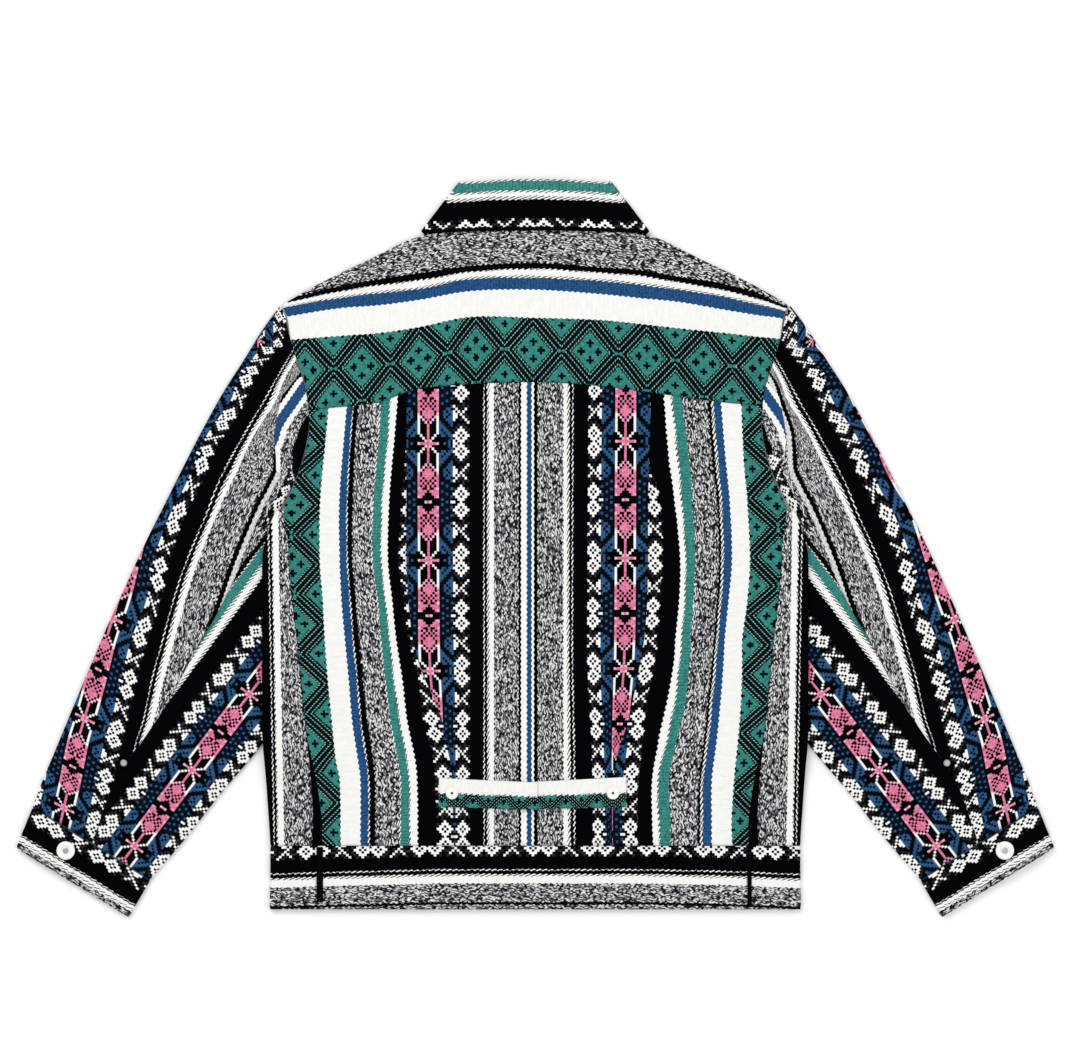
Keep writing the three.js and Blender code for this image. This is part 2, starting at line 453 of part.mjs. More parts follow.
// ---- collar ----
// Each row runs from one front end round the neck to the other, at one share w of the collar's width.
function collarHalf(which, w) {
  const fall = which === 'fall', z = fall ? FALL_Z : STAND_Z, f = COLLAR_FOLD;
  const at = fall ? w : mix(0.05, 0.87, w), r = (z.top - z.low) / 2;
  const fx = f.ex - f.rx, fy = f.ey - f.ry, len = Math.hypot(fx, fy), nx = fy / len, ny = -fx / len;
  const deep = (FALL_Z.top - FALL_Z.low) / 2 + CLOTH / 2;
  const cx = mix(f.rx, f.ex, at) + nx * deep, cy = mix(f.ry, f.ey, at) + ny * deep;
  const backY = mix(f.backRoll, f.backFree, at);
  const roll = fall ? 0.6 * (1 - smooth(0, 0.1, w)) : 0;
  const out = [];
  for (const t of steps(5)) out.push(new THREE.Vector3(cx * t, mix(backY, cy, t * t), z.top - roll * (1 - t)));
  for (const t of steps(6).slice(1)) {
    const a = t * Math.PI;
    out.push(new THREE.Vector3(cx - nx * Math.sin(a) * r, cy - ny * Math.sin(a) * r, z.low + r + Math.cos(a) * r));
  }
  const ends = COLLAR_FRONT.map((row) => (fall ? { x: mix(row.rx, row.ex, w), y: mix(row.ry, row.ey, w) }
    : { x: mix(row.rx, row.sx, mix(0.08, 1, w)), y: mix(row.ry, row.sy, mix(0.08, 1, w)) }));
  const pts = [{ x: cx, y: cy }, ...ends];
  for (const t of steps(10).slice(1)) {
    const k = t * (pts.length - 1);
    out.push(new THREE.Vector3(byRow(pts, 'x', k), byRow(pts, 'y', k), z.low));
  }
  return out;
}
function collar(which) {
  const rows = (which === 'fall' ? [0, 0.1, 0.35, 0.7, 1] : [0, 0.5, 1]).map((w) => {
    const half = collarHalf(which, w);
    const other = half.slice(1).reverse().map((p) => new THREE.Vector3(-p.x, p.y, p.z));
    return [...other, ...half];
  });
  return sheet(rows, CLOTH);
}

// ---- buttons and studs ----
// Turned shape from a table of radius and height.
function turned(profile, cx, cy, base, seg = 24) {
  const pos = [cx, cy, base + profile[0].z], idx = [], rings = profile.slice(1, -1);
  for (const p of rings) {
    for (let k = 0; k < seg; k += 1) {
      const a = (2 * Math.PI * k) / seg;
      pos.push(cx + p.r * Math.cos(a), cy + p.r * Math.sin(a), base + p.z);
    }
  }
  const last = pos.length / 3;
  pos.push(cx, cy, base + profile[profile.length - 1].z);
  const id = (i, k) => 1 + i * seg + (k % seg);
  for (let k = 0; k < seg; k += 1) {
    idx.push(0, id(0, k + 1), id(0, k));
    for (let i = 0; i < rings.length - 1; i += 1) {
      idx.push(id(i, k), id(i, k + 1), id(i + 1, k + 1), id(i, k), id(i + 1, k + 1), id(i + 1, k));
    }
    idx.push(last, id(rings.length - 1, k), id(rings.length - 1, k + 1));
  }
  return finish(pos, idx);
}
const TAB_BUTTON = [{ r: 0, z: 0 }, { r: 5.9, z: 0 }, { r: 6.5, z: 0.7 }, { r: 6.3, z: 1.5 }, { r: 5.3, z: 1.9 },
  { r: 4.5, z: 1.5 }, { r: 0, z: 1.4 }];
const CUFF_BUTTON = [{ r: 0, z: 0 }, { r: 8.8, z: 0 }, { r: 9.6, z: 0.9 }, { r: 9.3, z: 2.1 }, { r: 8.0, z: 2.7 },
  { r: 5.2, z: 2.3 }, { r: 4.6, z: 1.3 }, { r: 0, z: 1.2 }];
const STUD = [{ r: 0, z: 0 }, { r: 3.4, z: 0 }, { r: 3.6, z: 0.5 }, { r: 3.0, z: 1.1 }, { r: 1.6, z: 1.3 }, { r: 0, z: 1.0 }];
const BUTTON_AT = { left: -86.6, right: 80.8, y: -254.8 };
const CUFF_BUTTON_AT = { x: 488.2, y: -314.5 };
const STUD_AT = { x: 428.2, y: -223.6 };

// ---- assemble ----
const MATERIALS = {
  jacquard: { color: 0x77797a, roughness: 0.95, metalness: 0 },
  jacquard_white: { color: 0xf2f1ec, roughness: 0.95, metalness: 0 },
  black_tape: { color: 0x111114, roughness: 0.9, metalness: 0 },
  button: { color: 0xeceae4, roughness: 0.35, metalness: 0 },
  stud: { color: 0xa9a9aa, roughness: 0.35, metalness: 1 },
};
const group = new THREE.Group();
function add(name, geometry, slot) {
  const mesh = new THREE.Mesh(geometry, new THREE.MeshStandardMaterial({ ...MATERIALS[slot], name: slot }));
  mesh.name = name;
  group.add(mesh);
}
add('collar_fall', collar('fall'), 'jacquard');
add('collar_stand', collar('stand'), 'jacquard');
add('back_yoke', yoke(), 'jacquard');
add('back_centre', backCentre(), 'jacquard');
add('waistband_back', bandBack(), 'jacquard');
for (const [name, side] of [['left', -1], ['right', 1]]) {
  add(`back_side_${name}`, backSide(side), 'jacquard');
  add(`side_${name}`, sidePanel(side), 'jacquard');
  add(`front_${name}`, front(side), 'jacquard');
  add(`waistband_${name}`, bandSide(side), 'jacquard');
  add(`waist_tape_${name}`, tape(TAPE[name]), 'black_tape');
  add(`back_tab_${name}`, tab(name), 'jacquard_white');
  const bx = BUTTON_AT[name], by = BUTTON_AT.y;
  add(`tab_button_${name}`, turned(TAB_BUTTON, bx, by, tabZ(name, bx, by) + TAB_T / 2 + SEAM), 'button');
  add(`sleeve_upper_${name}`, sleeveUpper(side), 'jacquard');
  add(`sleeve_under_${name}`, sleeveUnder(side), 'jacquard');
  add(`cuff_${name}`, cuff(side), 'jacquard');
  add(`cuff_button_${name}`, turned(CUFF_BUTTON, side * CUFF_BUTTON_AT.x, CUFF_BUTTON_AT.y,
    CUFF.z + BAND + SEAM + BAND / 2 + SEAM), 'button');
  add(`cuff_stud_${name}`, turned(STUD, side * STUD_AT.x, STUD_AT.y, 5.1 + CLOTH / 2 + 0.6), 'stud');
}
// Origin at the middle of the jacket's footprint, on the table.
const box = new THREE.Box3().setFromObject(group), mid = box.getCenter(new THREE.Vector3());
group.traverse((m) => { if (m.isMesh) m.geometry.translate(-mid.x, -mid.y, -box.min.z); });

export default group;
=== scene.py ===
"""Jacquard jacket laid flat, back upwards, seen from straight above."""
from math import cos, hypot, pi, sin

import bpy
import mathutils
import numpy as np
from numpy.linalg import norm
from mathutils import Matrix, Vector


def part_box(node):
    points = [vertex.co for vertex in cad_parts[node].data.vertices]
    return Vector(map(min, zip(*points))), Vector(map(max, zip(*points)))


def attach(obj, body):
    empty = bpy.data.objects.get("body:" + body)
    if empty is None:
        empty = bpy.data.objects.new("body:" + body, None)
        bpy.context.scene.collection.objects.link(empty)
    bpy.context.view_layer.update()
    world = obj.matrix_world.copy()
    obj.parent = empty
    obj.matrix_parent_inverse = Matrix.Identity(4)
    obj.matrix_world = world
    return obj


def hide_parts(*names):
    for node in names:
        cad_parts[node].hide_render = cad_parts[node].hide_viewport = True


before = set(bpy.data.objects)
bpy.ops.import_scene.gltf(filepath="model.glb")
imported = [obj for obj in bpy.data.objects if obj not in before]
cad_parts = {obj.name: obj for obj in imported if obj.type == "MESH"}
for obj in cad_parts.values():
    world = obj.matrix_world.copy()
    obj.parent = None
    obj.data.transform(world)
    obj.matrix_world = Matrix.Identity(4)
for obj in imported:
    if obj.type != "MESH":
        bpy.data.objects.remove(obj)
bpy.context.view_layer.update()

# ---- sizes, mm
CLOTH, BAND, SEAM = 1.8, 2.6, 0.3
HEM_Y, WAIST_Y = -376.0, -309.9
NECK_HALF, UNDERARM_Y = 104.0, 43.7
FRONT_Z, BACK_Z = CLOTH / 2, 5.4
OVER_SLEEVE, SIDE_BACK_RISE, NECK_RISE = 5.3, -1.2, 2.2
TAB_T, TAPE_T = 2.0, 1.0
S2, YOKE_S2 = SEAM / 2, 0.22     # half a straight seam, half a curved one
TURN, TURN_OUT = 0.445, 1.15     # the shoulder's bend, in half turns, and how far it stands out
PX = 1.04                        # one pixel of the photograph
CX, CY = 535.3, 548.0            # pixel of the garment's origin
CELL_U, CELL_V = 2.35, 2.58      # woven cell, in pixels
HALF_CELL = CELL_U / 2
SCALLOP = 5.6                    # length of the waves along the stripes' edges, in pixels

# the waistband's lowest corner in these sizes; everything moves to where the frame has it
BAND_CORNER = (-225.85, HEM_Y, 4.15)
SHIFT = np.array([round(v * 1000.0, 3) - c for v, c in zip(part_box("waistband_back")[0], BAND_CORNER)])
NAMES = {-1: "left", 1: "right"}


def table(*rows):
    """Columns of a table as arrays, sorted by the first one."""
    a = np.array(sorted(rows), float)
    return a[:, 0], a[:, 1:]


ARMHOLE = table((252.7, 264.5), (239.2, 258.2), (218.4, 255.1), (195.5, 247.8), (174.7, 240.6), (152.9, 237),
    (126.9, 235.4), (103, 238.5), (79, 245.8), (61.4, 253), (43.7, 261.4))
SIDE_SEAM = table((43.7, 261.4), (27, 260.3), (8.3, 257.2), (-12.5, 256.2), (-54.1, 253), (-95.7, 247.8),
    (-137.3, 243.7), (-199.7, 237.4), (-241.3, 233.3), (-282.9, 231.2), (-309.9, 232.2))
SIDE_EDGE = table((38.5, 269.7), (27, 274.9), (13.5, 279), (-4.2, 283.2), (-25, 284.2), (-74.9, 284.2),
    (-158.1, 284.2), (-199.7, 283.7), (-230.9, 281.1), (-267.3, 278.5), (-309.9, 275.9),
    (HEM_Y, 276.5))
BACK_SEAM = table((170, 134, 120.3), (112.3, 134, 119.3), (49.9, 134, 117.2), (-12.5, 134, 117.2),
    (-54.1, 131.9, 116.2), (-95.7, 127.2, 113), (-129, 117.8, 107.3), (-155, 106.4, 102.1),
    (-176.8, 98.1, 97.4), (-197.6, 91.8, 91.2), (-215.3, 87.7, 85.5), (-241.3, 85.6, 81.8),
    (-272.5, 84.6, 80.8), (-309.9, 84.6, 80.8))
SHOULDER = table((0, 333.6), (60, 333.6), (94, 332), (NECK_HALF, 328.5), (112, 325.2), (120, 323.8),
    (131.4, 320.9), (175, 299.5), (212.5, 281.8), (246.8, 263.1), (266.5, 251.5))
NECK_FRONT = table((0, 249.6), (24, 252), (47.1, 257.9), (80.4, 280.8), (99.1, 309.9), (NECK_HALF, 328.5))
YOKE_SEAM = table((-270, 143.8), (-238.5, 144.6), (-216.6, 145.6), (-162.6, 151.8), (-127.2, 164.3),
    (-67.9, 170.6), (4.9, 172.6), (67.3, 168.5), (131.8, 160.2), (215, 149.8), (270, 149))
# outer fold x y, back seam x y, inner fold x y, share of the front seam, heights at outer, seam, inner
SLEEVE = np.array([
    (265.6, 252.2, 260.2, 241.8, 260.2, 241.8, 0, 4.2, 4.6, 4.6),
    (284.2, 226.6, 255.6, 220.5, 255.6, 220.5, 0, 4.6, 5.3, 5.3),
    (304, 194.5, 247.4, 193.4, 247.4, 193.4, 0, 4.8, 5.4, 5.4),
    (325.8, 160.2, 238.1, 162.2, 238.1, 162.2, 0, 4.8, 5.4, 5.4),
    (348.7, 118.6, 235.8, 124.8, 235.8, 124.8, 0, 4.8, 5.2, 5.2),
    (368.5, 80.1, 245.6, 81.1, 245.6, 81.1, 0, 4.8, 4.9, 4.9),
    (387.2, 42.6, 264.6, 41.6, 264.6, 41.6, 0, 4.8, 4.2, 4.2),
    (404.9, 7.3, 275.9, 28.1, 255.8, 3.1, 0.04, 4.8, 4, 3.9),
    (423.6, -33.3, 300.9, -8.3, 251.8, -54.1, 0.08, 4.8, 4.5, 3.9),
    (444.4, -79, 327.9, -62.4, 254.4, -111.3, 0.1, 4.8, 4.9, 3.9),
    (465.2, -127.9, 354.2, -108.2, 262.4, -160.2, 0.1, 4.8, 5, 3.9),
    (483.9, -172.6, 382, -160.2, 284.2, -203.6, 0.1, 4.8, 5, 4),
    (501.6, -215.3, 410.1, -202.8, 325.8, -253.8, 0.1, 4.8, 5, 4.6),
    (513, -242.3, 437.1, -241.3, 363.3, -301.6, 0.1, 4.8, 5, 4.8),
    (523.4, -269.4, 461, -306.8, 401, -345.3, 0.1, 4.9, 5.1, 4.9)], float)
UNDER_FROM = 7
ARC, UPPER, UNDER = 10, 36, 28   # steps round a fold and across the sleeve's two upper layers
CUFF_SEAM, CUFF_END, CUFF_Z = (523.2, -269.9, 400.8, -345.9), (540.3, -312, 423.1, -384.3), 5.0
CUFF_UNDER, CUFF_OVER = 0.24, 0.47
# the cuff in pixels of its cloth: depth, width, its first star and the way from there to the gap
CUFF_DEEP, CUFF_WIDE, CUFF_STAR, CUFF_STEP = 50, 138, 22.4, 66.3
FOLD = dict(rx=78.4, ry=382.6, ex=119.2, ey=329.6, roll=384, free=330.2)
FALL_Z, STAND_Z = (7.7, 0.9), (5.4, 3.1)
COLLAR_FRONT = [(72.5, 362, 115.5, 311, 98.6, 314), (64, 341, 118, 285, 86.8, 294.8),
    (50, 314, 106, 246, 69, 275.6), (28, 291, 76, 207, 43, 259.8),
    (1.2, 279, 30, 180, 1.2, 252.4)]
# folds of the solids themselves: start, end, width, height
BODY_FOLDS = [(-150, 120, -205, -30, 26, .9), (160, 110, 205, -60, 26, .8), (-95, -120, -130, -290, 22, .8),
    (92, -130, 118, -285, 22, .8), (-20, 120, 12, -200, 34, .7), (-150, 290, -225, 215, 30, .8),
    (140, 285, 215, 215, 30, .8)]
SLEEVE_FOLDS = [(262, 120, 330, 20, 16, 1.5), (290, 60, 380, -60, 15, 1.3), (330, 0, 420, -170, 16, 1.1),
    (330, -120, 430, -190, 18, 1.0), (400, -235, 500, -215, 14, .9), (300, 170, 350, 60, 18, .9)]
# finer creases of the visible cloth, in the same order
BODY_CREASES = [(-130, 95, -172, 20, 9, .5), (-185, 60, -215, -20, 8, .5), (150, 130, 190, 40, 9, .5),
    (205, 40, 190, -60, 8, .4), (-60, 60, -95, -60, 12, .4), (60, 20, 85, -90, 12, .35),
    (-150, -60, -180, -150, 10, .45), (150, -80, 172, -170, 10, .4), (-112, -110, -96, -190, 7, -.5),
    (104, -100, 92, -185, 7, -.5), (0, 150, -30, 60, 14, .35), (-200, -140, -215, -250, 9, .4),
    (195, -150, 210, -250, 9, .4), (-60, -285, -20, -190, 12, .3), (50, -290, 20, -200, 12, .3),
    (-170, 270, -120, 200, 12, .4), (160, 265, 110, 205, 12, .4), (-235, 235, -175, 190, 9, .4),
    (238, 230, 180, 195, 9, .4), (-30, 300, -45, 200, 14, .3), (45, 305, 40, 205, 14, .3)]
SLEEVE_CREASES = [(248, 150, 300, 95, 8, .7), (250, 118, 296, 62, 8, .8), (262, 90, 318, 34, 9, .7),
    (285, 60, 350, -8, 9, .5), (330, 130, 372, 60, 9, .5), (372, 70, 400, 0, 8, .4),
    (330, -40, 400, -60, 9, .6), (360, -90, 440, -70, 10, .5), (300, -60, 345, -130, 10, .5),
    (270, -130, 330, -175, 9, .6), (300, -190, 370, -230, 10, .5), (380, -170, 470, -180, 10, .5),
    (420, -220, 490, -245, 8, .4), (340, -245, 420, -280, 9, .4)]


def smooth(a, b, t):
    s = np.clip((np.asarray(t, float) - a) / (b - a), 0, 1)
    return s * s * (3 - 2 * s)


def mix(a, b, t):
    return a + (b - a) * t


def beside(n):
    """The next and the last index of each of n, or its own at the ends."""
    return np.minimum(np.arange(n) + 1, n - 1), np.maximum(np.arange(n) - 1, 0)


def hermite(keys, vals, at):
    """Smooth cubic through the rows of a table."""
    at = np.clip(np.asarray(at, float), keys[0], keys[-1])
    n = len(keys)
    hi, lo = beside(n)
    m = (vals[hi] - vals[lo]) / (keys[hi] - keys[lo])
    k = np.clip(np.searchsorted(keys, at, side="right") - 1, 0, n - 2)
    h = keys[k + 1] - keys[k]
    t = (at - keys[k]) / h
    t2, t3 = t * t, t * t * t
    return ((2 * t3 - 3 * t2 + 1) * vals[k] + (t3 - 2 * t2 + t) * h * m[k]
            + (3 * t2 - 2 * t3) * vals[k + 1] + (t3 - t2) * h * m[k + 1])


def along(tab, at, col=0):
    return hermite(tab[0], tab[1][:, col], at)


def by_row(rows, col, at):
    a = np.asarray(rows, float)
    return hermite(np.arange(len(a), dtype=float), a[:, col], at)


def folds(rows, x, y):
    z = 0.0 * x
    for x0, y0, x1, y1, w, h in rows:
        dx, dy = x1 - x0, y1 - y0
        ln = hypot(dx, dy)
        t = ((x - x0) * dx + (y - y0) * dy) / (ln * ln)
        d = ((x - x0) * dy - (y - y0) * dx) / ln
        z = z + h * smooth(-0.2, 0.25, t) * (1 - smooth(0.75, 1.2, t)) * np.exp(-((d / w) ** 2))
    return z


def lift(x, y):
    return smooth(205, 246, np.abs(x)) * (1 - smooth(38, 96, y)) * smooth(-262, -206, y)


def neck_lift(x, y):
    return smooth(150, 182, y) * (1 - smooth(126, 150, np.abs(x)))


def front_z(x, y):
    return FRONT_Z + OVER_SLEEVE * lift(x, y) + NECK_RISE * neck_lift(x, y)


def back_base(x, y):
    quiet = 1 - smooth(190, 225, np.abs(x)) * (1 - smooth(120, 160, y))
    neck = 1 - smooth(280, 315, y) * (1 - smooth(120, 150, np.abs(x)))
    waist = smooth(WAIST_Y, WAIST_Y + 40, y)
    return BACK_Z + (OVER_SLEEVE + SIDE_BACK_RISE) * lift(x, y) + folds(BODY_FOLDS, x, y) * quiet * neck * waist


def near_tab(x, y):
    return smooth(120, 100, np.abs(x)) * smooth(-290, -275, y) * (1 - smooth(-236, -222, y))


def back_z(x, y):
    """The solids' height with the finer creases on it."""
    fade = (1 - near_tab(x, y)) * smooth(WAIST_Y, WAIST_Y + 25, y)
    fade = fade * (1 - smooth(296, 318, y) * (1 - smooth(120, 150, np.abs(x))))
    return back_base(x, y) + folds(BODY_CREASES, x, y) * fade


def arm_x(y):
    return np.where(y > UNDERARM_Y, along(ARMHOLE, y), along(SIDE_SEAM, y))


def edge_x(y):
    return along(SIDE_EDGE, y)


def back_seam(side, y):
    return along(BACK_SEAM, y, 0 if side < 0 else 1)


def yoke_seam(x):
    return along(YOKE_SEAM, x)


def shoulder(x):
    return along(SHOULDER, np.abs(x))


def neck_front(x):
    return np.where(np.abs(x) > NECK_HALF, shoulder(x), along(NECK_FRONT, np.abs(x)))


def turn_at(x):
    return smooth(NECK_HALF + 10, NECK_HALF + 34, np.abs(x))


def front_seam(y):
    return arm_x(y) - 5 * smooth(UNDERARM_Y, -20, y)


def steps(n):
    return np.linspace(0, 1, n + 1)


def place(name, data):
    obj = bpy.data.objects.new(name, data)
    bpy.context.scene.collection.objects.link(obj)
    return obj


# ---- sheets
def sheet(name, points, thick, uv, edge_dip, over=None):
    """A closed sheet of cloth from a grid of points on its middle surface, in mm.

    uv, two grids, says where a point lies in its cloth. over holds another place in the cloth and a distance,
    and is used where that distance is above nought, behind the line of a fold or a strip."""
    p = np.asarray(points, float)
    rows, cols = p.shape[:2]
    (ip, im), (jp, jm) = beside(rows), beside(cols)
    n = np.cross(p[:, jp] - p[:, jm], p[ip] - p[im])
    n /= np.maximum(norm(n, axis=2, keepdims=True), 1e-9)
    half = np.full((rows, cols, 1), thick / 2)
    i, j = np.meshgrid(np.arange(rows), np.arange(cols), indexing="ij")
    rim = np.minimum(np.minimum(i, rows - 1 - i), np.minimum(j, cols - 1 - j))
    half[rim == 0] -= edge_dip                 # rounded cut edges
    verts = np.concatenate([(p + n * half).reshape(-1, 3), (p - n * half).reshape(-1, 3)]) + SHIFT
    idx = np.arange(rows * cols).reshape(rows, cols)
    a, b, c, d = idx[:-1, :-1], idx[:-1, 1:], idx[1:, 1:], idx[1:, :-1]
    o = rows * cols
    quads = [np.stack([a, b, c, d], -1).reshape(-1, 4), np.stack([a + o, d + o, c + o, b + o], -1).reshape(-1, 4)]
    for line, flip in ((idx[0], 0), (idx[-1], 1), (idx[:, 0], 1), (idx[:, -1], 0)):
        q = np.stack([line[:-1] + o, line[1:] + o, line[1:], line[:-1]], -1)
        quads.append(q[:, ::-1] if flip else q)
    faces = np.concatenate(quads)
    v = verts[faces[:, :3]]
    if np.einsum("ij,ij->i", v[:, 0], np.cross(v[:, 1], v[:, 2])).sum() < 0:
        faces = faces[:, ::-1]
    mesh = bpy.data.meshes.new(name)
    mesh.from_pydata((verts / 1000.0).tolist(), [], faces.tolist())
    if over is None:
        over = np.full((2, rows, cols), -1.0)
    loop = np.empty(len(mesh.loops), dtype=np.int32)
    mesh.loops.foreach_get("vertex_index", loop)
    for layer_name, pair in (("cloth", uv), ("over", over)):
        flat = np.stack(pair, -1).reshape(-1, 2)
        mesh.uv_layers.new(name=layer_name).data.foreach_set("uv", flat[loop % o].astype(np.float32).ravel())
    mesh.polygons.foreach_set("use_smooth", np.ones(len(mesh.polygons), dtype=bool))
    return place(name, mesh)


def layer(inner, outer, low, high, z, cols, rows, side, turn_z=None):
    """A panel of one layer; with turn_z its top bends round the shoulder towards that height."""
    def solve(edge, guess):
        y = np.full(len(cols), float(guess))
        for _ in range(30):
            y = mix(y, edge(mix(inner(y), outer(y), cols)), 0.6)
        return y
    y0, y1 = solve(low, WAIST_Y), solve(high, 260)
    out = []
    if turn_z:
        x_top = mix(inner(y1), outer(y1), cols)
        share, gap = turn_at(x_top), turn_z(x_top, y1) - z(x_top, y1)
        r = np.abs(gap) / 2
        run = y1 - (r + CLOTH / 2) * share * TURN_OUT
    else:
        run = y1
    for v in rows:
        y = mix(y0, run, min(1.0, v))
        x = mix(inner(y), outer(y), cols)
        zz = z(x, y)
        if v > 1:
            ang = (v - 1) * share * pi * TURN
            y, zz = y + np.sin(ang) * r * TURN_OUT, zz + np.sign(gap) * (1 - np.cos(ang)) * r
        out.append(np.stack([side * x, y, zz], -1))
    return np.array(out)


def fold_path(edge, top, low, z_edge, z_low, z_top_at, half, n_top, n_low, z_low_at=None):
    """Across the upper layer, round the edge and back along the lower one, level unless z_low_at says how."""
    mx, my = (top[0] + low[0]) / 2, (top[1] + low[1]) / 2
    dx, dy = mx - edge[0], my - edge[1]
    ln = hypot(dx, dy)
    ux, uy, r = dx / ln, dy / ln, (z_edge - z_low) / 2
    cx, cy = edge[0] + ux * (r + half), edge[1] + uy * (r + half)
    t = np.arange(n_top) / n_top
    x, y = mix(top[0], cx, t), mix(top[1], cy, t)
    a = np.arange(ARC + 1) / ARC * pi
    t2 = np.arange(1, n_low + 1) / n_low
    xl, yl = mix(cx, low[0], t2), mix(cy, low[1], t2)
    return np.concatenate([
        np.stack([x, y, z_top_at(x, y, t) + 0 * x], -1),
        np.stack([cx - ux * np.sin(a) * r, cy - uy * np.sin(a) * r, z_low + r + np.cos(a) * r], -1),
        np.stack([xl, yl, (z_low_at(xl, yl) if z_low_at else z_low) + 0 * xl], -1)])


def mirror(p, side):
    q = np.array(p, float)
    q[..., 0] *= side
    return q


# ---- cloth coordinates
def px(p):
    return CX + p[..., 0] / PX, CY - p[..., 1] / PX


def warp(x, y, rows, refs):
    """Where x lies in the cloth, from the stripes' measured places row by row."""
    ys = np.array([r[0] for r in rows], float)
    xs = np.array([r[1:] for r in rows], float)
    at = [hermite(ys, xs[:, k], y) for k in range(xs.shape[1])]
    u = refs[0] + (x - at[0])
    for k in range(len(refs) - 1):
        t = (x - at[k]) / (at[k + 1] - at[k])
        u = np.where(x >= at[k], refs[k] + t * (refs[k + 1] - refs[k]), u)
    return np.where(x >= at[-1], refs[-1] + (x - at[-1]), u)


def run_on(p, u, v, first, step):
    """Continue u by arc length from column first on, along step (+1 or -1) per pixel."""
    d = norm(np.diff(p, axis=1), axis=2) / PX
    u = np.array(u)
    for j in range(first, p.shape[1]):
        u[:, j] = u[:, j - 1] + step * d[:, j - 1]
    return u, v


CENTRE_REF = [417, 428.2, 470.5, 494, 519, 536.9, 563, 587, 603, 625.5, 647]
CENTRE_ROWS = [(385, 417, 428.2, 470.5, 494, 519, 536.9, 563, 589, 604, 625.5, 647),
    (500, 417, 428.2, 470.5, 494, 519, 536.9, 563, 588, 603, 625.3, 647),
    (600, 417.5, 429, 470.5, 494, 519, 536.9, 563, 587.5, 602.5, 625, 646.5),
    (660, 418, 429.8, 471, 494, 519, 536.9, 563, 587.5, 602.5, 624, 645),
    (710, 422, 433, 471, 494, 519, 536.9, 563, 590, 603.6, 620.5, 640),
    (760, 424, 434, 471, 494, 519, 536.9, 563, 592.5, 606, 617, 636),
    (846, 424, 434, 471, 494, 519, 536.9, 563, 593, 607, 617, 636)]
SIDE_L_REF = [291, 320, 339.3, 348, 351.6, 371.5, 380.5, 387.3, 398, 439]
SIDE_L_ROWS = [(400, 303, 329.5, 347, 354.5, 358, 380, 389.6, 397, 407.5, 448),
    (440, 297, 326, 343.5, 351, 354.5, 377.5, 387, 393.5, 406, 447),
    (500, 291, 320.5, 339, 348, 352, 372.5, 381.5, 388.5, 401, 442),
    (560, 291, 320, 339.3, 348, 351.6, 371.5, 380.5, 387.3, 398, 439),
    (600, 294, 323, 341, 351, 355, 377, 384.5, 391.5, 403, 443),
    (640, 296, 325, 344.5, 354, 358, 380, 389, 395.5, 408, 449),
    (680, 299, 328, 348.3, 358, 362, 384.5, 393, 401.5, 418, 459),
    (720, 303, 332, 351.5, 361.5, 366, 389.5, 399, 406, 423, 464),
    (760, 307, 336, 357.5, 367, 372, 397, 406, 414, 433, 474),
    (780, 311, 340, 360, 369.5, 374, 400, 408.5, 416, 435, 476),
    (846, 312, 341, 360, 369.5, 374.5, 399.5, 409, 416.5, 437, 478)]
SIDE_R_REF = [620, 661, 679, 684.5, 693, 717, 720.5, 728.3, 747.7, 777]
SIDE_R_ROWS = [(400, 606, 647, 663.5, 672, 681.5, 708, 712, 720.5, 741.5, 770),
    (460, 607, 649, 668.5, 678, 689, 712, 717, 725.5, 744, 773),
    (500, 620, 661, 674, 681.5, 692, 717, 720.5, 729.5, 747.5, 776),
    (560, 622, 663, 680, 685.5, 694.8, 719, 722.5, 731.8, 750.3, 779),
    (600, 620, 661, 679, 684.5, 693, 717, 720.5, 728.3, 747.7, 777),
    (640, 617, 658, 675, 681.5, 690, 714, 717, 724.5, 742.5, 772),
    (660, 615, 656, 674, 679.5, 689.5, 712, 715.5, 723.5, 742.5, 772),
    (700, 607, 648, 667, 675, 685.5, 708, 711.5, 720.5, 741.5, 771),
    (740, 603, 644, 658, 667, 676.5, 704, 707.5, 716.5, 738.5, 768),
    (780, 598, 639, 651.5, 657.5, 668.5, 699, 702, 711.5, 734.5, 764),
    (820, 597, 638, 651.5, 658.5, 670, 698, 701.5, 711.5, 732, 762),
    (846, 598, 639, 653, 659, 670.5, 698, 701.5, 711.5, 732.5, 762)]
# each side of the back: its cloth, rows and columns, the axis of its flower and a black place in it
SIDE_CLOTH = {-1: ("side_l", SIDE_L_ROWS, SIDE_L_REF, 439, 256.0), 1: ("side_r", SIDE_R_ROWS, SIDE_R_REF, 620, 812.0)}
FLOWER_HALF = 45
YOKE_REF = [263, 268, 278, 289.5, 318]
YOKE_ROWS = [(260, 309, 311, 314, 322, 345), (290, 299, 302, 306, 316, 340), (340, 286, 291, 298, 308, 336),
    (380, 279, 284.5, 293, 305, 333), (420, 273, 279.5, 289, 299.5, 327), (470, 266, 271.5, 279, 291, 317),
    (535, 263, 268, 278, 289.5, 318), (600, 267.5, 272, 281, 294, 320), (640, 270, 275, 285, 298, 324),
    (680, 277, 282, 290, 302, 328.5), (720, 283, 289, 296, 309, 332.5), (760, 294, 299, 305, 315.5, 337),
    (780, 304, 306, 309.5, 318, 339), (810, 314, 316, 319, 327, 347)]
PANEL_LEAN = ([540, 846], [0, 5.5])
WAIST_STAR = 370.5
